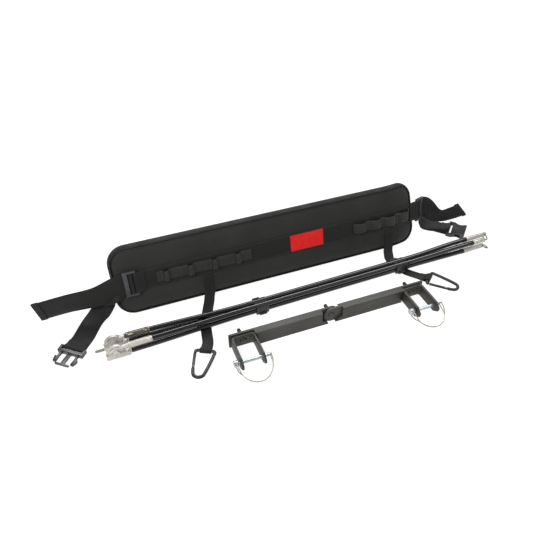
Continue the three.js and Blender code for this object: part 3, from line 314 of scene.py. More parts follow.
# %% Moulded plastics, bare metals and coated steel
def grained(name, dark, light, roughness, grain, detail, clouds, rough, bump, metallic=0.0, edges=None, **sockets):
    """A hard finish: its tone drifts, its skin is grained, and its rounded edges may take painted shade, darker and
    a little smoother.
    """
    made, tree, shader = finish(name, light, roughness, metallic, **sockets)
    skin = speckle(tree, grain, detail)
    shade = tint(tree, shader, speckle(tree, clouds), dark, light)
    skin_rough = spread(tree, skin, 0.3, 0.7, roughness + rough[0], roughness + rough[1])
    # Painted shade on the rounded edges: in patches they take the darker edge colour and a little less roughness.
    if edges:
        edge = add_node(tree, "ShaderNodeAttribute", attribute_name="edge").outputs["Fac"]
        painted_edge_shade_mask = calc(tree, "MULTIPLY", edge, spread(tree, speckle(tree, 160, 4), 0.42, 0.62))
        feed(tree, shader, {"Base Color": blend_colours(tree, painted_edge_shade_mask, shade, from_hex(edges))})
        skin_rough = calc(tree, "MULTIPLY_ADD", painted_edge_shade_mask, -0.15, skin_rough)
    feed(tree, shader, {"Roughness": skin_rough})
    emboss(tree, shader, skin, *bump)
    return made


def moulded(name, dark, light, roughness, grain):
    """Nylon or rubber out of a mould, with a fine skin."""
    return grained(
        name, dark, light, roughness, grain, 2, clouds=25, rough=(-0.06, 0.08), bump=(0.00006, 0.5), IOR=1.49
    )


def bare_metal(name, dark, light, roughness, metallic, grain=500, depth=0.00001):
    """Cast, turned or plated metal with no paint on it."""
    return grained(
        name, dark, light, roughness, grain, 4, clouds=40, rough=(-0.08, 0.12), bump=(depth, 0.6), metallic=metallic
    )


def coated_steel(name, dark, light, roughness, grain, metallic=0.0):
    """Steel under a coat, with painted shade darkening its rounded edges."""
    return grained(
        name, dark, light, roughness, grain, 2, clouds=18, rough=(-0.06, 0.1), bump=(0.00008, 0.6),
        # The edge colour is painted shade.
        metallic=metallic, edges="171614",
    )


buckle_plastic = moulded("buckle_nylon", "303133", "424346", roughness=0.28, grain=1400)
clip_plastic = moulded("clip_rubber", "131313", "1e1e1e", roughness=0.42, grain=1100)
cast_aluminium = bare_metal("cast_alloy", "b9b5ae", "d0ccc5", roughness=0.46, metallic=0.35, depth=0.00003)
zinc_plate = bare_metal("zinc_plate", "a9b1b3", "c3cacc", roughness=0.3, metallic=0.75, grain=300)
# A darker copy of the ferrule metal, used on the rear pole only, as painted shade.
rear_ferrule_painted_shade = bare_metal("rear_ferrule_painted_shade", "57524a", "6f695f", roughness=0.3, metallic=0.8)
stud_steel = bare_metal("stud_steel", "7f7d76", "97958d", roughness=0.5, metallic=0.4, depth=0.00002)
ring_steel = bare_metal("ring_steel", "605e59", "7c7a74", roughness=0.34, metallic=0.7)
spring_wire = bare_metal("spring_wire", "a39d92", "bdb7ac", roughness=0.32, metallic=0.6, grain=900)
powder_coat = coated_steel("powder_coat", "2b2924", "383630", roughness=0.52, grain=500)
dark_steel = coated_steel("dark_steel", "242320", "34322e", roughness=0.4, grain=700, metallic=0.4)
print("metals:", cast_aluminium.name, zinc_plate.name, powder_coat.name, dark_steel.name)

# %% Braided glass-fibre rods
BRAID_PITCH, BRAID_STARTS = 0.019, 4.0
rod_braid, tree, shader = finish(
    "rod_braid", "0e0e0d", 0.3, Specular_IOR_Level=0.12, Coat_Weight=0.9, Coat_Roughness=0.12
)
along = add_node(tree, "ShaderNodeAttribute", attribute_name="along").outputs["Fac"]
way_round = add_node(tree, "ShaderNodeAttribute", attribute_name="way_round").outputs["Vector"]
sides = add_node(tree, "ShaderNodeSeparateXYZ", {0: way_round}).outputs
angle = calc(tree, "ARCTAN2", sides[1], sides[0])
lays = []
for starts in (BRAID_STARTS, -BRAID_STARTS):
    wound = calc(tree, "MULTIPLY", angle, starts)
    lays.append(calc(tree, "SINE", calc(tree, "MULTIPLY_ADD", along, 2 * math.pi / BRAID_PITCH, wound)))
strands = spread(tree, calc(tree, "MULTIPLY", *lays), -0.35, 0.35)
tint(tree, shader, weigh(tree, strands, speckle(tree, 70), 0.55), "050505", "121211", 0.0, 1.0)
print(rod_braid.name, len(tree.nodes), "nodes")

# %% [markdown]
# ## Ways to make a piece
#
# Three small workshops serve the whole kit. The first copies a rigid piece from the CAD model, welds its loose
# triangles, and rounds its sharp edges, since no real edge is sharp. The second draws a body through rings. The
# third is a pair of Geometry Nodes trees, one for wire and one for rows of stitches: both follow a path, so a
# tree that takes the path and a few sizes serves every ring, bail and seam.

# %% Which body carries which node
carrier = {node: body for body, group in frame["record"]["behaviour"]["bodies"].items() for node in group}
LAYOUT_X, LAYOUT_Y = 18.5, -12.0  # mm, from the maker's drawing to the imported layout


# %% What every piece goes through
def laid(point):
    """A place in drawing millimetres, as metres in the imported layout."""
    return ((point[0] + LAYOUT_X) / 1000, (point[1] + LAYOUT_Y) / 1000, point[2] / 1000)


def new_piece(name, mesh):
    piece = bpy.data.objects.new(name, mesh)
    scene.collection.objects.link(piece)
    return piece


def fit_out(piece, material, body, *replaced):
    """Give a piece its finish, the body it moves with, and the CAD nodes it stands for."""
    piece.data.materials.clear()
    piece.data.materials.append(material)
    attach(piece, body)
    if replaced:
        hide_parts(*replaced)
    return piece


def smooth(mesh, angle=35):
    """Shade smooth, but keep creases sharper than this many degrees."""
    mesh.shade_smooth()
    mesh.set_sharp_from_angle(angle=math.radians(angle))


def settle(piece):
    """Turn a piece's live modifiers into plain mesh."""
    evaluated = piece.evaluated_get(bpy.context.evaluated_depsgraph_get())
    mesh = bpy.data.meshes.new_from_object(evaluated)
    mesh.name = piece.name
    piece.modifiers.clear()
    old = piece.data
    piece.data = mesh
    if old.users == 0:
        bpy.data.meshes.remove(old)
    return piece


print("layout shifted by", LAYOUT_X, LAYOUT_Y, "mm")


# %% Steps that mend a mesh
def worked(mesh, *steps):
    """Run bmesh steps on a mesh, each a function of the opened mesh."""
    work = bmesh.new()
    work.from_mesh(mesh)
    for step in steps:
        step(work)
    work.to_mesh(mesh)
    work.free()
    return mesh


def merged(reach):
    return lambda work: bmesh.ops.remove_doubles(work, verts=work.verts, dist=reach)


def flattened(work):
    bmesh.ops.dissolve_limit(work, angle_limit=math.radians(0.8), verts=work.verts, edges=work.edges)


def without_slivers(work):
    bmesh.ops.delete(work, geom=[face for face in work.faces if face.calc_area() < 1e-12], context="FACES")


def turned_out(work):
    bmesh.ops.recalc_face_normals(work, faces=work.faces)


print("steps:", merged.__name__, flattened.__name__, without_slivers.__name__, turned_out.__name__)


# %% Copies of rigid CAD pieces with rounded edges
def rounded_copy(node, material, radius, segments=2):
    """A welded copy of a CAD node with its creases rounded, and the rounded faces marked as edge."""
    mesh = worked(nodes[node].data.copy(), merged(2e-6), flattened)
    mesh.name = node + "_dressed"
    mesh.materials.clear()
    piece = new_piece(node + "_dressed", mesh)
    bevel = piece.modifiers.new("rounding", "BEVEL")
    bevel.width, bevel.segments = radius / 1000, segments
    bevel.limit_method, bevel.angle_limit = "ANGLE", math.radians(35)
    bevel.miter_outer, bevel.use_clamp_overlap = "MITER_ARC", True
    bevel.material = 1
    mesh.materials.append(material)
    mesh.materials.append(material)
    mesh = settle(piece).data
    edge = mesh.attributes.new("edge", "FLOAT", "FACE")
    edge.data.foreach_set("value", [float(face.material_index == 1) for face in mesh.polygons])
    for face in mesh.polygons:
        face.material_index = 0
    smooth(mesh, 40)
    return fit_out(piece, material, carrier[node], node)


print("copies keep the names of", len(nodes), "nodes")


# %% Bodies through rings
def skin_faces(rows, count, first=0, closed=False):
    """Quads between rows of points, each row a ring. If closed, the last row joins the first."""
    faces = []
    for row in range(rows if closed else rows - 1):
        here, there = first + row * count, first + (row + 1) % rows * count
        faces += [(here + i, here + (i + 1) % count, there + (i + 1) % count, there + i) for i in range(count)]
    return faces


def capped_faces(rows, count):
    return skin_faces(rows, count) + [tuple(reversed(range(count))), tuple(range((rows - 1) * count, rows * count))]


def mesh_of(name, points, faces, *steps):
    """A mesh of points in metres whose faces are turned outwards."""
    mesh = bpy.data.meshes.new(name)
    mesh.from_pydata(points, [], faces)
    return worked(mesh, *steps, turned_out)


def ring_body(name, rings):
    """A capped body through rings with as many points each, in drawing millimetres."""
    points = [laid(p) for ring in rings for p in ring]
    mesh = mesh_of(name, points, capped_faces(len(rings), len(rings[0])), merged(1e-7))
    smooth(mesh)
    return new_piece(name, mesh)


print("bodies through rings ready")


# %% Pieces turned on a lathe
def circle_steps(count):
    return [2 * math.pi * k / count for k in range(count)]


def square_to(along, up=(0, 0, 1)):
    """Two directions square to a line and to each other."""
    side = along.cross(Vector(up)).normalized()
    return side, along.cross(side)


def turned(name, start, end, profile):
    """A turned piece along a straight line: (distance from the start, radius) pairs, in millimetres."""
    start, along = Vector(start), (Vector(end) - Vector(start)).normalized()
    side, other = square_to(along)
    rings = [
        [start + along * far + (side * math.cos(t) + other * math.sin(t)) * radius for t in circle_steps(40)]
        for far, radius in profile
    ]
    return ring_body(name, rings)


print("a turned piece has", len(circle_steps(40)), "sides")


# %% What the two trees share
def open_tree(name, **sizes):
    """A tree that takes a path, some sizes and a finish, with the path as a curve."""
    tree = bpy.data.node_groups.new(name, "GeometryNodeTree")
    for label, kind in {"Path": "Geometry", **sizes, "Finish": "Material"}.items():
        tree.interface.new_socket(label, in_out="INPUT", socket_type="NodeSocket" + kind)
    tree.interface.new_socket("Result", in_out="OUTPUT", socket_type="NodeSocketGeometry")
    given = add_node(tree, "NodeGroupInput").outputs
    return tree, given, add_node(tree, "GeometryNodeMeshToCurve", {"Mesh": given["Path"]})


def close_tree(tree, given, shape):
    """Make the shape real, give it its finish and send it out."""
    real = add_node(tree, "GeometryNodeRealizeInstances", {0: shape})
    dressed = add_node(tree, "GeometryNodeSetMaterial", {"Geometry": real, "Material": given["Finish"]})
    add_node(tree, "NodeGroupOutput", {0: dressed})
    return tree


def keep(tree, geometry, name, value, data_type):
    """Store a value on every point, so that a finish can read it."""
    inputs = {"Geometry": geometry, "Name": name, "Value": value}
    return add_node(tree, "GeometryNodeStoreNamedAttribute", inputs, data_type=data_type, domain="POINT")


def scaled(tree, geometry, *sizes):
    size = add_node(tree, "ShaderNodeCombineXYZ", dict(enumerate(sizes)))
    return add_node(tree, "GeometryNodeTransform", {"Geometry": geometry, "Scale": size})


print("each tree starts with", open_tree.__name__, "and ends with", close_tree.__name__)

# %% A tree for wire: any path becomes a round bar that knows its length and its way round
tree, given, curve = open_tree("wire_along_path", Radius="Float", Sides="Int")
length = add_node(tree, "GeometryNodeSplineParameter").outputs["Length"]
circle = add_node(tree, "GeometryNodeCurvePrimitiveCircle", {"Resolution": given["Sides"], "Radius": 1.0})
hoop = keep(tree, circle, "way_round", add_node(tree, "GeometryNodeInputPosition"), "FLOAT_VECTOR")
swept = add_node(
    tree, "GeometryNodeCurveToMesh",
    {
        "Curve": keep(tree, curve, "along", length, "FLOAT"),
        "Profile Curve": scaled(tree, hoop, *[given["Radius"]] * 3),
        "Fill Caps": True,
    },
)
wire_along_path = close_tree(tree, given, swept)
print(wire_along_path.name, "has", len(wire_along_path.nodes), "nodes")

# %% A tree for stitches: short rounded threads laid end to end along a seam
tree, given, curve = open_tree("stitches_along_path", Pitch="Float", Stitch="Float", Thread="Float")
spaced = add_node(tree, "GeometryNodeResampleCurve", {"Curve": curve, "Length": given["Pitch"]}, mode="LENGTH")
bead = add_node(tree, "GeometryNodeMeshUVSphere", {"Segments": 6, "Rings": 4, "Radius": 0.5})
wide = calc(tree, "MULTIPLY", given["Thread"], 2.0)
sewn = scaled(tree, bead, wide, wide, given["Stitch"])
tangent = add_node(tree, "GeometryNodeInputTangent")
turn = add_node(tree, "FunctionNodeAlignRotationToVector", {"Vector": tangent}, axis="Z")
rows = add_node(tree, "GeometryNodeInstanceOnPoints", {"Points": spaced, "Instance": sewn, "Rotation": turn})
stitches_along_path = close_tree(tree, given, rows)
print(stitches_along_path.name, "has", len(stitches_along_path.nodes), "nodes")


# %% Running a tree on paths
def run_tree(name, tree, paths, material, sizes, closed=False):
    """Lay a tree's result along paths given in drawing millimetres, as one plain mesh."""
    points, edges = [], []
    for path in paths:
        first = len(points)
        points += [laid(p) for p in path]
        edges += [(first + i, first + i + 1) for i in range(len(path) - 1)]
        if closed:
            edges.append((len(points) - 1, first))
    mesh = bpy.data.meshes.new(name + "_path")
    mesh.from_pydata(points, edges, [])
    piece = new_piece(name, mesh)
    modifier = piece.modifiers.new("tree", "NODES")
    modifier.node_group = tree
    given = {**sizes, "Finish": material}
    for socket in tree.interface.items_tree:
        if socket.in_out == "INPUT" and socket.name in given:
            modifier[socket.identifier] = given[socket.name]
    settle(piece)
    smooth(piece.data, 50)
    return piece


def wire(name, paths, radius, material, body, *replaced, sides=16, closed=False):
    sizes = {"Radius": radius / 1000, "Sides": sides}
    return fit_out(run_tree(name, wire_along_path, paths, material, sizes, closed), material, body, *replaced)


def stitches(name, paths, body, material=stitch_thread, pitch=4.0, stitch=2.9, thread=0.35):
    sizes = {"Pitch": pitch / 1000, "Stitch": stitch / 1000, "Thread": thread / 1000}
    return fit_out(run_tree(name, stitches_along_path, paths, material, sizes), material, body)


print("both trees take paths in millimetres")

# %% [markdown]
# ## The belt's own frame
#
# The pad stands on its long edge, leans back, and its right end curls back as a worn belt does. All of its
# pieces are drawn flat, as a sewer lays them out: so far along the pad, so far in front of its middle, so high
# up it. One function bends the flat drawing along the curl and leans it. A seam drawn straight then lies
# straight on the curved pad, with no fitting by eye.

# %% From the flat pad to the standing belt, in drawing millimetres
GAP = 0.3
WEB = 2.0  # thickness of all webbing
PAD_LONG, PAD_HIGH, PAD_THICK, PAD_CORNER = 800.0, 168.0, 24.0, 42.0
PAD_MIDDLE_X, BELT_Y, BAND_HEIGHT = -12.0, 124.0, 82.0
CURL_START, CURL_BACK, END_SLANT, BOUND = 285.0, 24.0, 0.14, 5.0
LEAN = math.radians(15)
pad_lift = PAD_THICK / 2 * math.sin(LEAN)
curl_span = PAD_MIDDLE_X + PAD_LONG / 2 - CURL_START
UP_PAD = Vector((0, math.sin(LEAN), math.cos(LEAN)))


def curl_turn(x):
    """How far the pad has turned at a place along it."""
    return math.atan(2 * CURL_BACK * max(0.0, x - CURL_START) / curl_span**2)


def on_pad(x, front, up):
    """A point in front of the pad's middle plane, before the belt leans."""
    turn = curl_turn(x)
    back = CURL_BACK * max(0.0, (x - CURL_START) / curl_span) ** 2
    return Vector((x + front * math.sin(turn), back - front * math.cos(turn), up))


def slanted(x, h):
    """The right end's outline leans, so that its top lies further in."""
    return x - END_SLANT * h * max(0.0, (x - CURL_START) / curl_span)


def stood(point):
    """Lean a point of the belt back and stand it on the floor."""
    y = point.y * math.cos(LEAN) + point.z * math.sin(LEAN)
    z = point.z * math.cos(LEAN) - point.y * math.sin(LEAN)
    return Vector((point.x, y + BELT_Y, z + pad_lift))


def on_belt(x, front, up):
    """Where a point of the flat belt ends up."""
    return stood(on_pad(x, front, up))


def on_end(x, front, up):
    """The same for the outline of the pad, which slants at its right end."""
    return on_belt(slanted(x, up), front, up)


band_front = PAD_THICK / 2 + 2 * GAP + WEB / 2
print("band lies", round(band_front, 2), "mm in front of the pad's middle")


# %% A smooth path through stations, tight where they are close
def path_point(points, t):
    """A centripetal curve through points, at t from 0 to their number less one."""
    last = len(points) - 1
    i = min(int(t), last - 1)
    share = t - i
    p1, p2 = points[i], points[i + 1]
    p0 = points[i - 1] if i > 0 else 2 * p1 - p2
    p3 = points[i + 2] if i + 2 <= last else 2 * p2 - p1
    d0, d1, d2 = ((b - a).length ** 0.5 for a, b in ((p0, p1), (p1, p2), (p2, p3)))
    d1 = d1 or 1.0
    d0, d2 = d0 or d1, d2 or d1
    m1 = ((p1 - p0) / d0 - (p2 - p0) / (d0 + d1) + (p2 - p1) / d1) * d1
    m2 = ((p2 - p1) / d1 - (p3 - p1) / (d1 + d2) + (p3 - p2) / d2) * d1
    return (
        p1
        + m1 * share
        + (-3 * p1 + 3 * p2 - 2 * m1 - m2) * share**2
        + (2 * p1 - 2 * p2 + m1 + m2) * share**3
    )


print("halfway between two points:", path_point([Vector((0, 0, 0)), Vector((2, 0, 0))], 0.5).x)


# %% The frame that a strap carries along its path
def strap_frames(stations, spacing=4.0, step=0.002):
    """Along a strap: its middle, the direction of its width, of its face, and the length so far."""
    points = [point for point, _ in stations]
    frames, length, before = [], 0.0, None
    for i in range(len(points) - 1):
        count = max(3, math.ceil((points[i + 1] - points[i]).length / spacing))
        for k in range(count + (i == len(points) - 2)):
            t = i + k / count
            place = path_point(points, t)
            along = path_point(points, min(t + step, len(points) - 1)) - path_point(points, max(t - step, 0))
            along.normalize()
            width = stations[i][1].lerp(stations[i + 1][1], k / count)
            width = (width - along * width.dot(along)).normalized()
            length += (place - before).length if before else 0.0
            before = place
            frames.append((place, width, along.cross(width), length))
    return frames


print("UP_PAD, the width's way on the pad:", [round(value, 2) for value in UP_PAD])


# %% Webbing drawn along stations, with its weave laid out in metres
WOVEN = WEB - 0.15  # drawn thickness of webbing


def strap_mesh(name, frames, wide, thick):
    """A band with soft edges swept along frames, mapped in metres across and along."""
    half, deep, soft = wide / 2, thick / 2, 0.7
    flat = (half - soft, half * 0.5, 0.0, -half * 0.5, soft - half)
    section = [(a, deep) for a in flat] + [(-half, deep * 0.35), (-half, -deep * 0.35)]
    section += [(a, -deep) for a in reversed(flat)] + [(half, -deep * 0.35), (half, deep * 0.35)]
    points = [laid(place + width * a + face * b) for place, width, face, _ in frames for a, b in section]
    mesh = mesh_of(name, points, capped_faces(len(frames), len(section)))
    weave = mesh.uv_layers.new(name="weave")
    for loop in mesh.loops:
        row, column = divmod(loop.vertex_index, len(section))
        weave.data[loop.index].uv = (section[column][0] / 1000 + 0.1, frames[row][3] / 1000)
    smooth(mesh, 50)
    return mesh


def strap(name, stations, wide, body, *replaced, material=webbing):
    frames = strap_frames(stations)
    fit_out(new_piece(name, strap_mesh(name, frames, wide, WOVEN)), material, body, *replaced)
    print(name, round(frames[-1][3]), "mm long")
    return frames


def seam_along(frames, across, start, end, out=WEB / 2):
    """A seam's path along a strap, so far from its middle line."""
    return [p + w * across + f * out for p, w, f, length in frames if start <= length <= end]


def seam_across(frames, at, half, out=WEB / 2):
    """A seam's path from edge to edge of a strap."""
    place, width, face, _ = min(frames, key=lambda frame_here: abs(frame_here[3] - at))
    return [place + width * (half * share) + face * out for share in (-1, -0.33, 0.33, 1)]


print("webbing is drawn", WOVEN, "mm thick")


# %% [markdown]
# ## The foam pad
#
# A belt pad is foam in woven cloth, with a tape bound round its edge. It is a crowned form: the foam swells
# between the webbing and the bound edge, and is held flat where webbing is sewn over it. A box would look like
# wood. The cloth is simulated: the flat pad starts a little thin, air pressure swells it, and what lies under
# webbing is then held down. The bound edge is drawn instead, because a simulation would blur its seams.

# %% The pad's edge, rounded at its four corners
def rim_points(spacing=8.0, turn_step=7.5):
    """Round the pad's flat outline: a point and the way out of the pad there."""
    half_x, half_h = PAD_LONG / 2 - PAD_CORNER, PAD_HIGH / 2 - PAD_CORNER
    centres = [(half_x, half_h, 0), (-half_x, half_h, 90), (-half_x, -half_h, 180), (half_x, -half_h, 270)]
    rim = []
    for k, (cx, ch, start) in enumerate(centres):
        steps = round(90 / turn_step)
        for i in range(steps + 1):
            turn = math.radians(start + i * 90 / steps)
            out = (math.cos(turn), math.sin(turn))
            rim.append((cx + PAD_CORNER * out[0], ch + PAD_CORNER * out[1], *out))
        nx, nh, _ = centres[(k + 1) % 4]
        far = abs(nx - cx) + abs(nh - ch)
        count = round(far / spacing)
        for i in range(1, count):
            share = i / count
            x, h = cx + (nx - cx) * share, ch + (nh - ch) * share
            rim.append((x + PAD_CORNER * out[0], h + PAD_CORNER * out[1], *out))
    return rim


EDGE_REACH, EDGE_POWER = 9.0, 2.4


def half_thickness(inset):
    """Half of the pad's thickness at a distance in from its outline."""
    left = 1 - min(inset, EDGE_REACH) / EDGE_REACH
    return PAD_THICK / 2 * (1 - left**EDGE_POWER) ** (1 / EDGE_POWER)


rim = rim_points()
print("rim of", len(rim), "points")


# %% A flat closed pad, ring by ring inwards
INSETS = (0, 0.5, 1.3, 2.6, 4.5, 7, 10, 14, 19, 25, 31, 37, PAD_CORNER)


def flat_pad(thinner):
    """The pad laid flat, this much thinner on either side than it ends up."""
    xs = sorted({round(x, 4) for x, _, nx, _ in rim if abs(nx) < 1e-6})
    hs = sorted({round(h, 4) for _, h, _, nh in rim if abs(nh) < 1e-6})
    points, faces = [], []
    for side in (1, -1):
        faces += skin_faces(len(INSETS), len(rim), len(points))
        for inset in INSETS:
            deep = side * max(0.0, half_thickness(inset) - thinner * min(1, inset / 7))
            points += [(x - nx * inset, deep, h - nh * inset) for x, h, nx, nh in rim]
        first, deep = len(points), side * (half_thickness(PAD_CORNER) - thinner)
        points += [(x, deep, h) for x in xs for h in hs]
        cells = [first + i * len(hs) + j for i in range(len(xs) - 1) for j in range(len(hs) - 1)]
        faces += [(a, a + len(hs), a + len(hs) + 1, a + 1) for a in cells]
    points = [(x / 1000, y / 1000, z / 1000) for x, y, z in points]
    return mesh_of("belt_pad", points, faces, merged(1e-6), without_slivers)


pad = new_piece("belt_pad_cloth", flat_pad(1.8))
print("flat pad:", len(pad.data.vertices), "points")


# %% Swell the cloth with a little air
VOXEL, AIR, AIR_FRAMES, SWELL_CAP = 0.0045, 4.0, 20, 0.004


def finer(piece, levels):
    """Subdivide a piece for good."""
    modifier = piece.modifiers.new("finer", "SUBSURF")
    modifier.levels = modifier.render_levels = levels
    settle(piece)


def swell(piece):
    """Run cloth with pressure on a voxel copy, and cap how far each point moves."""
    remesh = piece.modifiers.new("voxels", "REMESH")
    remesh.mode, remesh.voxel_size = "VOXEL", VOXEL
    settle(piece)
    rest = [v.co.copy() for v in piece.data.vertices]
    cloth = piece.modifiers.new("cloth", "CLOTH")
    cloth.settings.quality, cloth.settings.mass = 6, 0.3
    cloth.settings.use_pressure, cloth.settings.uniform_pressure_force = True, AIR
    cloth.settings.effector_weights.gravity = 0
    cloth.point_cache.frame_start, cloth.point_cache.frame_end = 1, AIR_FRAMES
    for number in range(1, AIR_FRAMES + 1):
        scene.frame_set(number)
    settle(piece)
    scene.frame_set(1)
    for vertex, before in zip(piece.data.vertices, rest):
        move = vertex.co - before
        if move.length > SWELL_CAP:
            vertex.co = before + move * (SWELL_CAP / move.length)


swell(pad)
finer(pad, 1)
print("swollen pad:", len(pad.data.polygons), "faces")


# %% Hold it down under the webbing, then curl it and stand it up
DROP_X = (-195.0, 296.0)  # where the drop straps hang
HELD, FLAT, CROWN = 27.0, 12.15, 2.3
FACE, QUICK_FACE = 9.0, 10.2
SEAM_DIP, DIP_WIDE = 0.7, 1.6  # how deep and how wide the bound edge's seam pulls the cloth in


def gentle(share):
    share = min(1.0, max(0.0, share))
    return share * share * (3 - 2 * share)


def swell_limit(x, h, front):
    """How far the face may stand from the pad's middle plane."""
    low_edge, high_edge = BAND_HEIGHT - HELD, BAND_HEIGHT + HELD
    if front:
        panel = max(0.0, (h - high_edge) / (PAD_HIGH - high_edge - 4), (low_edge - h) / (low_edge - 4))
        crown = math.sin(math.pi * panel) ** 0.75 if panel < 1 else 0.0
        if h < high_edge:
            crown *= min(gentle((abs(x - drop) - 15) / 22) for drop in DROP_X)
    else:
        crown = math.sin(math.pi * min(1.0, max(0.0, h / PAD_HIGH))) ** 0.6
    crown *= gentle((PAD_LONG / 2 - abs(x - PAD_MIDDLE_X)) / 50)
    wave = 0.25 * math.sin(x / 41) * math.sin(x / 17 + h / 30)
    return FLAT + (CROWN + wave) * crown


for vertex in pad.data.vertices:
    x, through, h = (1000 * value for value in vertex.co)
    x, h = x + PAD_MIDDLE_X, h + PAD_HIGH / 2
    limit = swell_limit(x, h, through < 0)
    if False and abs(through) > FACE:
        through *= limit / QUICK_FACE
    deep = min(abs(through), limit)
    from_seam = min(h, PAD_HIGH - h) - BOUND - 0.6
    deep -= SEAM_DIP * math.exp(-((from_seam / DIP_WIDE) ** 2)) * (abs(through) > FACE)
    vertex.co = laid(on_end(x, math.copysign(deep, -through), h))
pad.data.update()
smooth(pad.data, 60)
fit_out(pad, pad_cloth, "belt", "belt_pad")
print("pad stands", round(max(v.co.z for v in pad.data.vertices) * 1000), "mm high")


# %% Tape bound round the edge
def edge_section(offset, steps=9):
    """Round the pad's edge from its front to its back: distance in from the outline, and through the pad."""
    insets = [BOUND * (1 - i / steps) ** 1.8 for i in range(steps)]
    front = [(inset, half_thickness(inset)) for inset in insets]
    line = front + [(0.0, 0.0)] + [(inset, -deep) for inset, deep in reversed(front)]
    moved = []
    for i, (inset, deep) in enumerate(line):
        before, after = line[max(0, i - 1)], line[min(len(line) - 1, i + 1)]
        run = Vector([b - a for a, b in zip(before, after)]).normalized()
        moved.append((inset + offset * run.y, deep - offset * run.x))
    return moved


def at_rim(spot, inset, deep):
    """A place on the pad, so far in from its outline and so far through it."""
    x, h, nx, nh = spot
    return on_end(x - nx * inset + PAD_MIDDLE_X, deep, h - nh * inset + PAD_HIGH / 2)


outer, inner = edge_section(0.95), edge_section(0.1)
section = outer + inner[::-1]
count = len(section)
points = [laid(at_rim(spot, inset, deep)) for spot in rim for inset, deep in section]
mesh = mesh_of("bound_edge", points, skin_faces(len(rim), count, closed=True))
weave = mesh.uv_layers.new(name="weave")
round_rim = [0.0]
for (x, h, _, _), (next_x, next_h, _, _) in zip(rim, rim[1:] + rim[:1]):
    round_rim.append(round_rim[-1] + math.hypot(next_x - x, next_h - h))
for face in mesh.polygons:
    row = face.index // count
    for loop in face.loop_indices:
        vertex_row, column = divmod(mesh.loops[loop].vertex_index, count)
        length = round_rim[row + (vertex_row != row)]
        weave.data[loop].uv = (min(column, 2 * len(outer) - 1 - column) * 0.0016, length / 1000)
smooth(mesh, 50)
fit_out(new_piece("bound_edge", mesh), binding_tape, "belt")
seam = [at_rim(spot, BOUND - 1.8, half_thickness(BOUND) + 0.75) for spot in rim + rim[:1]]
stitches("bound_edge_seam", [seam], "belt")
print("bound edge is", round(round_rim[-1]), "mm round")

# %% [markdown]
# ## Webbing on the pad
#
# The main webbing runs the whole length of the pad and turns back round a bar of each lock, where it is sewn
# down. The narrow chains on it are sewn flat between loops that stand open for hanging gear. A strap is a band
# swept along stations, and each station says where the middle of the strap is and which way its width points.
# That is how webbing behaves: it bends freely across its face, twists slowly, and never stretches.

# %% Beside a lock, whose inner bar stands at a given place along the pad
BAR_RADIUS, BAR_PITCH, BAND_WIDE, TAPE_WIDE = 2.0, 9.6, 50.0, 25.0
LEFT_LOCK_X, RIGHT_LOCK_X, BROAD_START, BROAD_WIDE, LOCK_RISE = -360.0, 384.0, 17.0, 10.0, 2.6
turn_radius = BAR_RADIUS + GAP + WEB / 2
lock_front = band_front + turn_radius + LOCK_RISE
half_turn = [math.pi * step / 4 for step in range(5)]


def beside_lock(lock_x, along, front):
    """So far along the pad from a lock's inner bar, and so far in front of it."""
    turn = curl_turn(lock_x)
    bar = on_pad(lock_x, lock_front, BAND_HEIGHT)
    c, s = math.cos(turn), math.sin(turn)
    return stood(bar + Vector((along * c + front * s, along * s - front * c, 0)))


def flat_on_pad(x, front):
    return (on_belt(x, front, BAND_HEIGHT), UP_PAD)


print("webbing turns on a radius of", turn_radius, "mm round a bar")


# %% Main webbing
SEWN = 22.0
sewn_front = band_front + WEB + GAP


def round_bar(lock_x, side, facing):
    """Half a turn round a lock's inner bar."""
    return [
        (beside_lock(lock_x, side * turn_radius * math.sin(t), facing * turn_radius * math.cos(t)), UP_PAD)
        for t in half_turn
    ]


band_from, band_to = LEFT_LOCK_X + SEWN, RIGHT_LOCK_X - SEWN
bend_from = CURL_START - SEWN
level_from = band_from + SEWN
middle = [band_from] + [level_from + (bend_from - level_from) * i / 3 for i in range(3)]
middle += [bend_from + (band_to - bend_from) * i / 6 for i in range(6)] + [band_to]
band_stations = (
    [flat_on_pad(band_from, sewn_front), flat_on_pad(LEFT_LOCK_X + SEWN / 2, sewn_front + LOCK_RISE)]
    + round_bar(LEFT_LOCK_X, -1, 1)
    + [flat_on_pad(x, band_front) for x in middle]
    + round_bar(RIGHT_LOCK_X, 1, -1)
    + [flat_on_pad(RIGHT_LOCK_X - SEWN / 2, sewn_front + LOCK_RISE), flat_on_pad(band_to, sewn_front)]
)
band = strap("belt_band", band_stations, BAND_WIDE, "belt", "belt_webbing")
band_end = band[-1][3]
BAND_SEAM, TAPE_SEAM = 22, 10.5  # from a strap's middle to the ends of a seam across it
EDGE_SEAM, SEAM_START = 22.2, 52
seams = [seam_along(band, across, SEAM_START, band_end - SEAM_START) for across in (-EDGE_SEAM, EDGE_SEAM)]
seams += [seam_across(band, at, BAND_SEAM) for at in (2.0, 14.0, band_end - 14.0, band_end - 2.0)]
stitches("belt_band_seams", seams, "belt")


# %% Chains of open loops
LOOPS, BULGE, TACKS = 4, 8.5, (-0.15, -0.11, 0.11, 0.15)
chain_front = sewn_front + 2.5 * GAP
slim_shares = ((0, 0), (0.25, 0), (0.29, 0.5), (0.32, 1), (0.45, 1), (0.48, 0.5), (0.52, 0))
broad_shares = ((0, 0), (0.12, 0.05), (0.26, 0.8), (0.7, 1), (0.8, 0.6), (0.88, 0.05))


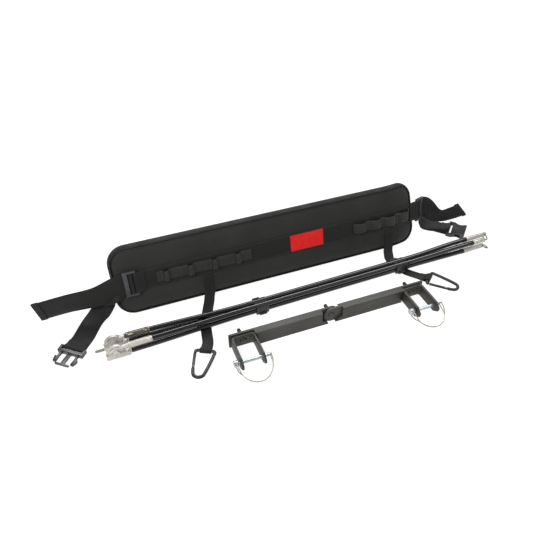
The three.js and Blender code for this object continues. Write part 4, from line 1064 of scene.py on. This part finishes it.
def daisy_chain(name, start, end, node, bulge_shares):
    """Tape along the webbing: each share of a loop's length says how far the tape bulges there."""
    pitch = (end - start) / LOOPS
    stations = [
        flat_on_pad(start + (i + share) * pitch, chain_front + out * BULGE)
        for i in range(LOOPS)
        for share, out in bulge_shares
    ]
    frames = strap(name, stations + [flat_on_pad(end, chain_front)], TAPE_WIDE, "belt", node, material=loop_tape_painted_light)
    tacks = []
    for x in (start + (i + nudge) * pitch for i in range(LOOPS + 1) for nudge in TACKS):
        if start < x < end:
            nearest = min(frames, key=lambda f: abs(f[0].x - x))
            tacks.append(seam_across(frames, nearest[3], TAPE_SEAM))
    stitches(name + "_tacks", tacks, "belt", pitch=1.7, stitch=1.6)


daisy_chain("left_loops", -312.0, -82.0, "daisy_chain_left", slim_shares)
daisy_chain("right_loops", 192.0, 358.0, "daisy_chain_right", broad_shares)

# %% The bare red patch, a thin cloth with a sewn border
PATCH_FROM, PATCH_TO, PATCH_HALF, PATCH_THICK = 20, 108, 21, 1.0
COLUMNS, LINES = 28, 14
patch_back = band_front + WEB / 2 + GAP
points = []
for side in (1, 0):
    for i in range(COLUMNS + 1):
        for j in range(LINES + 1):
            x = PATCH_FROM + (PATCH_TO - PATCH_FROM) * i / COLUMNS
            h = BAND_HEIGHT - PATCH_HALF + 2 * PATCH_HALF * j / LINES
            inset = min(x - PATCH_FROM, PATCH_TO - x, PATCH_HALF - abs(h - BAND_HEIGHT))
            rise = PATCH_THICK * (0.55 + 0.45 * gentle(inset / 3)) - 0.28 * math.exp(-(((inset - 3) / 1.2) ** 2))
            points.append(laid(on_belt(x, patch_back + side * rise, h)))


def patch_quads(corners, sides, columns, lines):
    """Quads whose corners are given as steps of side, column and line."""
    return [
        tuple(((s + ds) * (COLUMNS + 1) + i + di) * (LINES + 1) + j + dj for ds, di, dj in corners)
        for s in sides
        for i in columns
        for j in lines
    ]


faces = patch_quads(((0, 0, 0), (0, 1, 0), (0, 1, 1), (0, 0, 1)), (0, 1), range(COLUMNS), range(LINES))
for line in (0, LINES):
    faces += patch_quads(((0, 0, 0), (0, 1, 0), (1, 1, 0), (1, 0, 0)), [0], range(COLUMNS), [line])
for column in (0, COLUMNS):
    faces += patch_quads(((0, 0, 0), (0, 0, 1), (1, 0, 1), (1, 0, 0)), [0], [column], range(LINES))
mesh = mesh_of("red_patch", points, faces)
smooth(mesh, 50)
fit_out(new_piece("red_patch", mesh), label_cloth, "belt", "label_patch")
border = [(23, -18), (105, -18), (105, 18), (23, 18), (23, -18)]
path = []
for (x0, h0), (x1, h1) in zip(border, border[1:]):
    steps = round(math.hypot(x1 - x0, h1 - h0) / 4)
    path += [(x0 + (x1 - x0) * i / steps, h0 + (h1 - h0) * i / steps) for i in range(steps)]
path = [on_belt(x, patch_back + 0.75, BAND_HEIGHT + h) for x, h in path + path[:1]]
stitches("red_patch_seam", [path], "belt", material=red_thread, pitch=2.6, stitch=2.1, thread=0.3)
print("patch stands", round(patch_back + PATCH_THICK, 2), "mm in front of the middle")

# %% Ladder locks
for side in ("left", "right"):
    rounded_copy("ladder_lock_" + side, buckle_plastic, 0.9, 3)
print("locks rounded")

# %% [markdown]
# ## Adjusting straps and the buckle
#
# Each adjusting strap is one length of webbing: a free tail to pull, a turn round the lock's middle bar, and a
# leg that falls to the floor and turns round the buckle. The turns are drawn with five stations to half a turn.
# Each tail ends in a folded hem, which stops it slipping out of the lock, and the turn round the buckle is sewn
# shut.

# %% Places along each strap, in strap widths from the foot of its lock
TAIL_LEFT = (
    ((-4.56, 1.02, 0.58), (0, 0.05, 1)),
    ((-3.2, 0.66, 0.96), (0, 0.05, 1)),
    ((-1.8, 0.22, 1.34), (0, 0.15, 1)),
)
LEG_LEFT = (
    ((-1.06, 0.16, 1.42), (0.2, 0.24, 0.95)),
    ((-1.46, 0.56, 0.74), (0.75, 0.05, 0.6)),
    ((-1.82, 0.42, 0.26), (0.9, -0.3, 0.15)),
    ((-2.3, 0.04, 0.04), (0.8, -0.6, 0)),
)
TAIL_RIGHT = (
    ((2.62, -0.16, 1.5), (-0.67, 0.09, 0.74)),
    ((2.25, 0.12, 1.16), (-0.5, -0.02, 0.86)),
    ((1.8, 0.36, 0.94), (-0.25, -0.2, 0.93)),
    ((1.42, 0.6, 1), (0, -0.16, 0.98)),
)
LEG_RIGHT = (
    ((0.84, 1.04, 1.3), (0, 0.26, 0.97)),
    ((1.04, 1.12, 0.62), (0.45, 0.6, 0.6)),
    ((1.26, 1.08, 0.12), (0.6, 0.78, 0.1)),
    ((1.5, 0.86, 0.04), (0.7, 0.7, 0)),
)
MALE_AT, FEMALE_AT = (-523.0, 56.0, -38.5), (499.0, 130.0, 44.0)  # X, Y and turn of each buckle half
BUCKLE_THICK, STRAP_BAR = 10.0, 2.2
print("stations by hand:", [len(route) for route in (TAIL_LEFT, LEG_LEFT, TAIL_RIGHT, LEG_RIGHT)])


# %% Turns round the bars of a lock and of a buckle
def route_from(start, unit, shares):
    """Stations from a start, with places given in straps' widths."""
    return [(Vector(place) * unit + start, Vector(across)) for place, across in shares]


def lock_turn(lock_x, side):
    """Behind the lock's broad bar, over its middle bar, and out again behind both."""
    def place(along, front):
        return (beside_lock(lock_x, side * along, front), UP_PAD)
    behind, leg_front = -turn_radius, -turn_radius - LOCK_RISE
    broad_end, past = BROAD_START + BROAD_WIDE, 2 * BAR_RADIUS
    stations = [place(broad_end + 3 * past, behind), place(BROAD_START, behind)]
    turns = [-math.pi / 2, -math.pi / 4] + half_turn
    stations += [place(BAR_PITCH - turn_radius * math.sin(t), turn_radius * math.cos(t)) for t in turns]
    stations.append(place(BROAD_START - past, (leg_front + behind) / 2 - GAP))
    stations += [place(far, leg_front) for far in (BROAD_START + past, broad_end)]
    return stations + [place(broad_end + past, leg_front - (2 * GAP if side > 0 else 0))]


turn_shares = ((0, -1), (-0.71, -0.71), (-1, 0), (-0.71, 0.71), (0, 1))


def end_loop(at, half_up, radius, reaches, low, high):
    """A strap's last stretch: flat on the floor, round a bar, and back on itself."""
    x, y, turn = at
    across = Vector((math.cos(math.radians(turn)), math.sin(math.radians(turn)), 0))
    back = Vector((-across.y, across.x, 0))
    def station(along, z):
        return (Vector((x, y, z)) + back * along, across)
    stations = [station(along, z) for along, z in low]
    stations += [station(along * radius, half_up + up * radius) for along, up in turn_shares]
    return stations + [station(along, z) for along, z in high]


loop_radius = STRAP_BAR + GAP + WEB / 2
print("a buckle's loop has a radius of", loop_radius, "mm")

# %% The two adjusting straps
floor_z = WEB / 2 + 2 * GAP
HEM_SEAM, HEM_OUT = 15.0, 2.9  # the hem's seams, from the tail's end and out of its middle


def adjusting_strap(name, node, tail, lock_x, side, leg, buckle):
    """One length of webbing: its tail, its turn round the lock, its leg and its loop round the buckle."""
    foot = Vector((lock_x, BELT_Y, 0))
    low = ((SEWN * 1.7, floor_z + GAP), (SEWN, floor_z))
    high = ((SEWN / 2, floor_z + WEB + 2 * GAP), (SEWN, floor_z + WEB + GAP))
    stations = route_from(foot, BAND_WIDE, tail) + lock_turn(lock_x, side) + route_from(foot, BAND_WIDE, leg)
    stations += end_loop(buckle, BUCKLE_THICK / 2, loop_radius, SEWN, low, high)
    frames = strap(name, stations, BAND_WIDE, "belt", node)
    end = frames[-1][3]
    rows = [seam_across(frames, end - far, BAND_SEAM, -WEB / 2) for far in (2.0, 8.0)]
    rows += [seam_across(frames, HEM_SEAM, BAND_SEAM, sign * HEM_OUT) for sign in (-1, 1)]
    stitches(name + "_seams", rows, "belt", pitch=3.0, stitch=2.4)
    return frames


left_strap = adjusting_strap("left_strap", "adjust_strap_left", TAIL_LEFT, LEFT_LOCK_X, -1, LEG_LEFT, MALE_AT)
right_strap = adjusting_strap("right_strap", "adjust_strap_right", TAIL_RIGHT, RIGHT_LOCK_X, 1, LEG_RIGHT, FEMALE_AT)


# %% Folded hems at the free tails
def folded_hem(name, frames, long, layers):
    """The strap's end folded over on itself, as a stack of webbing."""
    tip = [frame_here for frame_here in frames if frame_here[3] <= long]
    mesh = strap_mesh(name, tip, BAND_WIDE + 1.2, layers * WOVEN)
    return fit_out(new_piece(name, mesh), webbing, "belt")


folded_hem("left_tail_hem", left_strap, 19, 3)
folded_hem("right_tail_hem", right_strap, 12, 4)
print("hems are folded from webbing", WEB, "mm thick")

# %% Buckle halves and the prongs that spring
for node in ("male_buckle", "male_prong_left", "male_prong_right", "female_buckle"):
    rounded_copy(node, buckle_plastic, 0.8, 3)

# %% [markdown]
# ## Drop straps and carabiners
#
# Two narrow straps are sewn under the main webbing, run down the pad and under the poles, and hold a carabiner
# each. The carabiner's body is a bent bar, so it is made by the wire tree along the maker's own curve. The gate is
# a turned bar with a slot for its hinge, so it keeps the CAD shape with its edges eased.

# %% Drop straps
CARABINER_ROD = 3.75
carabiner_loop = CARABINER_ROD + 2 * GAP + WEB / 2
carabiner_z = carabiner_loop + WEB / 2
LEFT_CARABINER, RIGHT_CARABINER = (-256.0, -54.0, -27.0), (330.0, -27.0, 40.0)
ROUTE_LEFT = (
    ((-0.2, -0.72, 0.188), (1, 0.15, 0)),
    ((-0.4, -1.2, 0.02), (1, 0.2, 0)),
    ((-0.72, -1.92, 0), (1, 0.3, 0)),
    ((-1.56, -4.16, 0), (0.95, -0.3, 0)),
)
ROUTE_RIGHT = (
    ((-0.16, -0.72, 0.188), (1, -0.05, 0)),
    ((-0.36, -1.2, 0.02), (1, -0.1, 0)),
    ((-0.64, -2, 0), (1, -0.2, 0)),
    ((-0.24, -4, 0), (0.9, 0.45, 0)),
)


def drop_strap(name, node, x, route, carabiner):
    """One length of tape: down the pad, along the floor and round the carabiner."""
    level, top = WEB / 2 + GAP, BAND_HEIGHT - BAND_WIDE / 2 - 2 * GAP
    hung = ((band_front, top), (band_front, top * 0.55), (band_front + GAP, top * 0.2))
    stations = [(on_belt(x, front, up), Vector((1, 0, 0))) for front, up in hung]
    stations += route_from(Vector((x, BELT_Y, level)), TAPE_WIDE, route)
    low = ((SEWN * 1.1, level),)
    high = ((SEWN * 0.6, level + WEB + 2 * GAP), (SEWN, level + WEB))
    stations += end_loop(carabiner, carabiner_z, carabiner_loop, SEWN, low, high)
    frames = strap(name, stations, TAPE_WIDE, "belt", node)
    end = frames[-1][3]
    rows = [seam_across(frames, at, TAPE_SEAM) for at in (1.6, 4.4, 7.2)]
    rows += [seam_across(frames, end - far, TAPE_SEAM, -WEB / 2) for far in (1.5, 5.5)]
    stitches(name + "_seams", rows, "belt", pitch=2.2, stitch=1.9)


drop_strap("left_drop_strap", "drop_strap_left", DROP_X[0], ROUTE_LEFT, LEFT_CARABINER)
drop_strap("right_drop_strap", "drop_strap_right", DROP_X[1], ROUTE_RIGHT, RIGHT_CARABINER)

# %% Carabiner bodies, bent from bar
CARABINER_LONG, CARABINER_WIDE, CARABINER_NARROW = 80.0, 44.0, 26.0
SQUARE = ((-1, -1), (1, -1), (1, 1), (-1, 1))
wide, narrow, corner = CARABINER_WIDE / 2, CARABINER_NARROW / 2, CARABINER_WIDE * 0.15
end, shift = -CARABINER_LONG + narrow + 2 * CARABINER_ROD, CARABINER_WIDE * 0.06
hook = Vector((-wide, -CARABINER_WIDE * 0.12, 0))
foot = Vector((-narrow - shift, -CARABINER_LONG + narrow, 0))
gate_hinge = hook.lerp(foot, 0.66)
bends = (
    (-wide + corner * 0.35, -corner * 0.25),
    (-wide + corner * 1.3, 0),
    (0, 0),
    (wide - corner * 1.3, 0),
    (wide - corner * 0.2, -corner * 0.45),
    (wide - corner * 0.3, -corner * 1.9),
    (narrow - shift, end),
    (narrow * 0.7 - shift, end - narrow * 0.7),
    (-shift, end - narrow),
    (-narrow * 0.7 - shift, end - narrow * 0.7),
    (-narrow - shift, end),
)
outline = [hook] + [Vector((x, y, 0)) for x, y in bends]
outline.append(gate_hinge.lerp(outline[-1], 0.35))
bent = [path_point(outline, t * (len(outline) - 1) / 120) for t in range(121)]


def placed(points, at, z=carabiner_z):
    """Turn points about an upright line and set them down at a place on the floor."""
    turn = Matrix.Rotation(math.radians(at[2]), 3, "Z")
    return [turn @ p + Vector((at[0], at[1], z)) for p in points]


for side, at in (("left", LEFT_CARABINER), ("right", RIGHT_CARABINER)):
    body = "carabiner_" + side
    wire(body + "_bar", [placed(bent, at)], CARABINER_ROD - 0.05, dark_steel, body, body, sides=20)
    run = (gate_hinge - bent[-1]).normalized()
    cross = Vector((-run.y, run.x, 0))
    back, front = bent[-1] - run * 2.0, gate_hinge + run * CARABINER_ROD * 0.7
    tongue = [
        [p + cross * (s * CARABINER_ROD * 0.7) + Vector((0, 0, t * 1.25)) for s, t in SQUARE]
        for p in (back, front)
    ]
    piece = ring_body(body + "_tongue", [placed(ring, at) for ring in tongue])
    fit_out(piece, dark_steel, body)
    rounded_copy("gate_" + side, dark_steel, 0.3)
    rounded_copy("gate_pin_" + side, zinc_plate, 0.2)
print("carabiners bent from", round(sum((b - a).length for a, b in zip(bent, bent[1:]))), "mm of bar")

# %% [markdown]
# ## Folded tow poles
#
# Each pole is two glass-fibre rods with a folding knuckle between them, so the folded bundle holds four rods in two
# rows. They spread at the knuckles and run side by side in the clips. A rod is one wire along a path, thick enough
# to carry a braid. Two numbers, stored by the tree on every point, tell the material how far along the rod it is
# and which way round, and that is all that a braid needs.

# %% The path of each rod
ROD_RADIUS, BUNDLE_Y, CLIP_PITCH, LOW_ROD_Z = 6.0, 16.0, 14.0, 10.9
HUB_X, HUB_SPREAD, PIVOT_Z, ROD_OFFSET, ROD_START = -438.0, 29.0, 19.8, 9.0, 30.0
LOW_ROD_END, HIGH_ROD_END, EASE_END, RIGHT_EASE, RIGHT_SPREAD = 470.0, 496.0, -128.0, 305.0, 19.0
FERRULE_START, FERRULE_LONG, SLEEVE_LONG, EYE_LONG, EYE_EDGE = 24.0, 56.0, 46.0, 20.0, 4.6
BLOCK_SHIFT, BLOCK_HALF, REAR_EYE_SHORT = 4.0, 26.0, 8.0
BUNDLE_TURN = math.radians(1.3)


def in_bundle(point):
    """Turn a place about the knuckles, as the whole bundle lies."""
    x, y = point[0] - HUB_X, point[1] - BUNDLE_Y
    c, s = math.cos(BUNDLE_TURN), math.sin(BUNDLE_TURN)
    return Vector((HUB_X + x * c - y * s, BUNDLE_Y + x * s + y * c, point[2]))


def rod_line(side, level, x):
    """The middle of a rod at a place along X, before the bundle is turned."""
    left = gentle((x - HUB_X - ROD_START) / (EASE_END - HUB_X - ROD_START))
    right = gentle((x - RIGHT_EASE) / (LOW_ROD_END - RIGHT_EASE))
    opening = (RIGHT_SPREAD - CLIP_PITCH) / 2 * right
    y = HUB_SPREAD / 2 * (1 - left) + CLIP_PITCH / 2 * left + opening
    clip_z = LOW_ROD_Z + (CLIP_PITCH if level > 0 else 0)
    z = (PIVOT_Z + level * ROD_OFFSET) * (1 - left) + clip_z * left
    return Vector((x, BUNDLE_Y + side * y, z + (RIGHT_SPREAD - CLIP_PITCH) * right * (level > 0)))


def rod_path(side, level, start, end, spacing=9.0):
    count = round((end - start) / spacing)
    return [in_bundle(rod_line(side, level, start + (end - start) * i / count)) for i in range(count + 1)]


def round_rod(name, side, level, profile, material, body, *replaced):
    """A turned piece on a rod's path: (place along X, radius) pairs."""
    rings = []
    for x, radius in profile:
        rim_here = [Vector((0, radius * math.cos(t), radius * math.sin(t))) for t in circle_steps(36)]
        rings.append([in_bundle(rod_line(side, level, x) + out) for out in rim_here])
    return fit_out(ring_body(name, rings), material, body, *replaced)


print("the bundle is turned by", round(math.degrees(BUNDLE_TURN), 2), "degrees")

# %% Four rods, and the collars on their right ends
eye_rod_end = HIGH_ROD_END - REAR_EYE_SHORT
low_start = HUB_X + BLOCK_SHIFT + BLOCK_HALF + 2 + GAP
high_start = HUB_X + FERRULE_START + FERRULE_LONG + GAP
ROWS = (("rear", 1), ("front", -1))
for name, side in ROWS:
    high_end = eye_rod_end if side > 0 else HIGH_ROD_END
    levels = (
        (1, high_start, high_end, "pole_top_" + name, "_upper", "_top"),
        (-1, low_start, LOW_ROD_END, "pole_bundle", "_lower", "_bottom"),
    )
    for level, start, end, body, place, node in levels:
        line, rod = rod_path(side, level, start, end), "rod_" + name
        wire(rod + place, [line], ROD_RADIUS, rod_braid, body, rod + node, sides=32)
    for level, _, end, body, _, _ in levels:
        collar = [(end - 9, 6.02), (end - 8.6, 6.5), (end - 0.6, 6.5), (end - 0.1, 6.2)]
        round_rod(f"rod_collar_{name}_{level + 1}", side, level, collar, clip_plastic, body)
print("rods reach from", round(high_start), "to", round(HIGH_ROD_END), "mm")

# %% Ferrules, knuckles and their pins
FERRULE_SHAPE = (
    (0, 4.6), (0.5, 5.3), (3.5, 5.3), (4.5, 6.9), (8, 6.9), (8.5, 6.55), (10, 6.55), (10.5, 6.9),
    (24, 6.9), (40, 6.9), (45, 6.9), (45.5, 6.6), (47, 6.6), (47.5, 6.9), (53, 6.9), (55.3, 6.5), (55.9, 6.1),
)
for name, side in ROWS:
    profile = [(HUB_X + FERRULE_START + far, radius) for far, radius in FERRULE_SHAPE]
    # The rear ferrule takes the darker copy of the metal as painted shade; the front one keeps the plain cast alloy.
    alloy = rear_ferrule_painted_shade if side > 0 else cast_aluminium
    round_rod("ferrule_sleeve_" + name, side, 1, profile, alloy, "pole_top_" + name, "ferrule_" + name)
    rounded_copy("knuckle_block_" + name, cast_aluminium, 0.7, 3)
    rounded_copy("knuckle_disc_" + name, cast_aluminium, 0.5)
    rounded_copy("knuckle_pin_" + name, zinc_plate, 0.4)


def thread(name, start, end, radius, pitch, ridge, material, body, to_turn=16):
    """A screw thread: a thin wire wound round a straight line, with so many steps to a turn."""
    start, end = Vector(start), Vector(end)
    side, other = square_to((end - start).normalized())
    steps = round((end - start).length / pitch * to_turn)
    path = []
    for i in range(steps + 1):
        turn = 2 * math.pi * i / to_turn
        path.append(start.lerp(end, i / steps) + (side * math.cos(turn) + other * math.sin(turn)) * radius)
    return wire(name, [path], ridge, material, body, sides=5)


BLOCK_WIDE, BLOCK_LOW = 15, 5.4
STUD_ROOM, STUD_RADIUS, STUD_LONG = 3.4, 3.0, 19.7  # the room is the stud's radius over its thread
STUD_PROFILE = ((0, 2.3), (0.9, STUD_RADIUS), (STUD_LONG, STUD_RADIUS))
stud_y, stud_z = BUNDLE_Y + HUB_SPREAD / 2 - BLOCK_WIDE * 0.25, BLOCK_LOW + STUD_ROOM + GAP
stud_end = HUB_X + BLOCK_SHIFT - BLOCK_HALF - GAP
stud_line = [in_bundle((stud_end - far, stud_y, stud_z)) for far in (STUD_LONG, 18.6, 1, 0)]
stud = turned("knuckle_stud_shank", stud_line[0], stud_line[3], STUD_PROFILE)
fit_out(stud, stud_steel, "pole_bundle", "knuckle_stud")
thread("knuckle_stud_thread", stud_line[1], stud_line[2], STUD_RADIUS, 1.25, 0.4, stud_steel, "pole_bundle")
print("stud and", 2 * len(ROWS), "knuckle castings done")

# %% Tube ends, eyes, rings and clips
for node in ("tube_end_rear", "tube_end_front", "eye_end_rear", "eye_end_front"):
    rounded_copy(node, cast_aluminium, 0.4)
for name, side, level, end, droop in (("rear", 1, 1, eye_rod_end, 70), ("front", -1, -1, LOW_ROD_END, 27)):
    eye = rod_line(side, level, end + GAP) + Vector((SLEEVE_LONG + EYE_LONG - EYE_EDGE, 0, 0))
    hang, reach = math.radians(droop), 9.6
    flat = [(reach * (1 + math.cos(t)), reach * math.sin(t)) for t in circle_steps(72)]
    ring = [in_bundle(eye + Vector((x * math.cos(hang), y, -x * math.sin(hang)))) for x, y in flat]
    wire("split_ring_" + name, [ring], 1.4, ring_steel, "ring_" + name, "pull_ring_" + name, closed=True)
for side in ("left", "right"):
    rounded_copy("pole_clip_" + side, clip_plastic, 0.9, 3)
print("rings and clips done")

# %% [markdown]
# ## Hitch bar, clevises and wire-lock pins
#
# The hitch bar is folded and welded steel in powder coat. Its CAD solids already have every plate, rib and hole, so
# they are copied with eased edges. The pins are turned, with a groove for the wire, and each bail is two strands of
# spring wire that part round the head and the tip, drawn by the wire tree.

# %% Steel pieces
HITCH_Y, HITCH_X, BAR_MIDDLE = -56.0, {"left": -173.0, "centre": 40.0, "right": 252.0}, 19.0
THREAD_FROM, THREAD_TO, THREAD_RADIUS = HITCH_Y + 7.6, HITCH_Y + 23.2, 3.95
for side in ("left", "right"):
    rounded_copy("hitch_bar_" + side, powder_coat, 0.8, 3)
    rounded_copy("clevis_" + side, powder_coat, 0.8, 3)
for side, x in HITCH_X.items():
    bolt, nut = "hitch_bolt_" + side, "hitch_nut_" + side
    rounded_copy(bolt, powder_coat, 0.4)
    rounded_copy(nut, powder_coat, 0.5)
    start, end = (x, THREAD_FROM, BAR_MIDDLE), (x, THREAD_TO, BAR_MIDDLE)
    thread(bolt + "_thread", start, end, THREAD_RADIUS, 1.4, 0.42, powder_coat, carrier[bolt])
print("hitch:", len(HITCH_X), "bolts with threads")

# %% Wire-lock pins and their bails
PIN_Y, PIN_HALF, BAIL_WIRE, BAIL_OUT, BAIL_DROOP = HITCH_Y - 67.3, 40.5, 1.2, 52.0, math.radians(16)
HEAD_AT, TIP_AT, PIN_HEAD, PIN_RADIUS = -PIN_HALF + 4.5, PIN_HALF + BAIL_WIRE + 2 * GAP, 8.0, 4.0
pin_shape = [
    (0, 6.6), (0.8, 7.8), (3.4, 8.0), (3.8, 7.2), (5.2, 7.2), (5.6, 8.0), (8.4, 7.9), (9.0, 7.2), (9.0, 4.0),
    (74, 4.0), (74.4, 3.5), (76.0, 3.5), (76.4, 4.0), (78.6, 4.0), (80.4, 3.0), (81.0, 1.9),
]


def drooped(p, x):
    """A place on a bail, let down by its droop and moved to its pin."""
    y = p.y * math.cos(BAIL_DROOP) - p.z * math.sin(BAIL_DROOP)
    z = p.y * math.sin(BAIL_DROOP) + p.z * math.cos(BAIL_DROOP)
    return Vector((p.x + x, y + PIN_Y, z + BAR_MIDDLE))


def bail_strand(up, x):
    """One strand of a bail: an arc that parts from its twin round the pin's head and tip."""
    points, steps = [], 12
    for i in range(steps + 1):
        share = i / steps
        turn = math.pi * (1 - share)
        apart = max(0.0, 1 - (min(share, 1 - share) / 0.16) ** 2)
        clear = (PIN_HEAD if share < 0.5 else PIN_RADIUS) + BAIL_WIRE + 2 * GAP
        lift = up * (BAIL_WIRE * 0.6 + (clear - BAIL_WIRE * 0.6) * apart)
        reach_out = -BAIL_OUT * math.sin(turn) ** 0.9 if 0 < i < steps else 0.0
        points.append(Vector((HEAD_AT + (TIP_AT - HEAD_AT) / 2 * (1 + math.cos(turn)), reach_out, lift)))
    fine = [path_point(points, t * steps / 60) for t in range(61)]
    return [drooped(p, x) for p in fine]


for side in ("left", "right"):
    x, pin, bail = HITCH_X[side], "lock_pin_" + side, "pin_bail_" + side
    start = (x - PIN_HALF, PIN_Y, BAR_MIDDLE)
    made = turned(pin + "_turned", start, (x + PIN_HALF, PIN_Y, BAR_MIDDLE), pin_shape)
    fit_out(made, zinc_plate, pin, pin)
    reach = PIN_RADIUS + BAIL_WIRE + 2 * GAP
    across = [drooped(Vector((TIP_AT, 0, z)), x) for z in (-reach - 0.4, 0, reach + 0.4)]
    paths = [bail_strand(1, x), bail_strand(-1, x), across]
    wire(bail + "_wire", paths, BAIL_WIRE, spring_wire, "bail_" + side, bail, sides=12)
print("pins", round(2 * PIN_HALF), "mm long")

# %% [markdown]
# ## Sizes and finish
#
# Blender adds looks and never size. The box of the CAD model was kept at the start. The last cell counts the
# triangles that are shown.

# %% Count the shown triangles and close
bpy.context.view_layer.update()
shown = [o.data.polygons for o in scene.objects if o.type == "MESH" and not o.hide_render]
print("shown triangles:", sum(len(face.vertices) - 2 for polygons in shown for face in polygons))
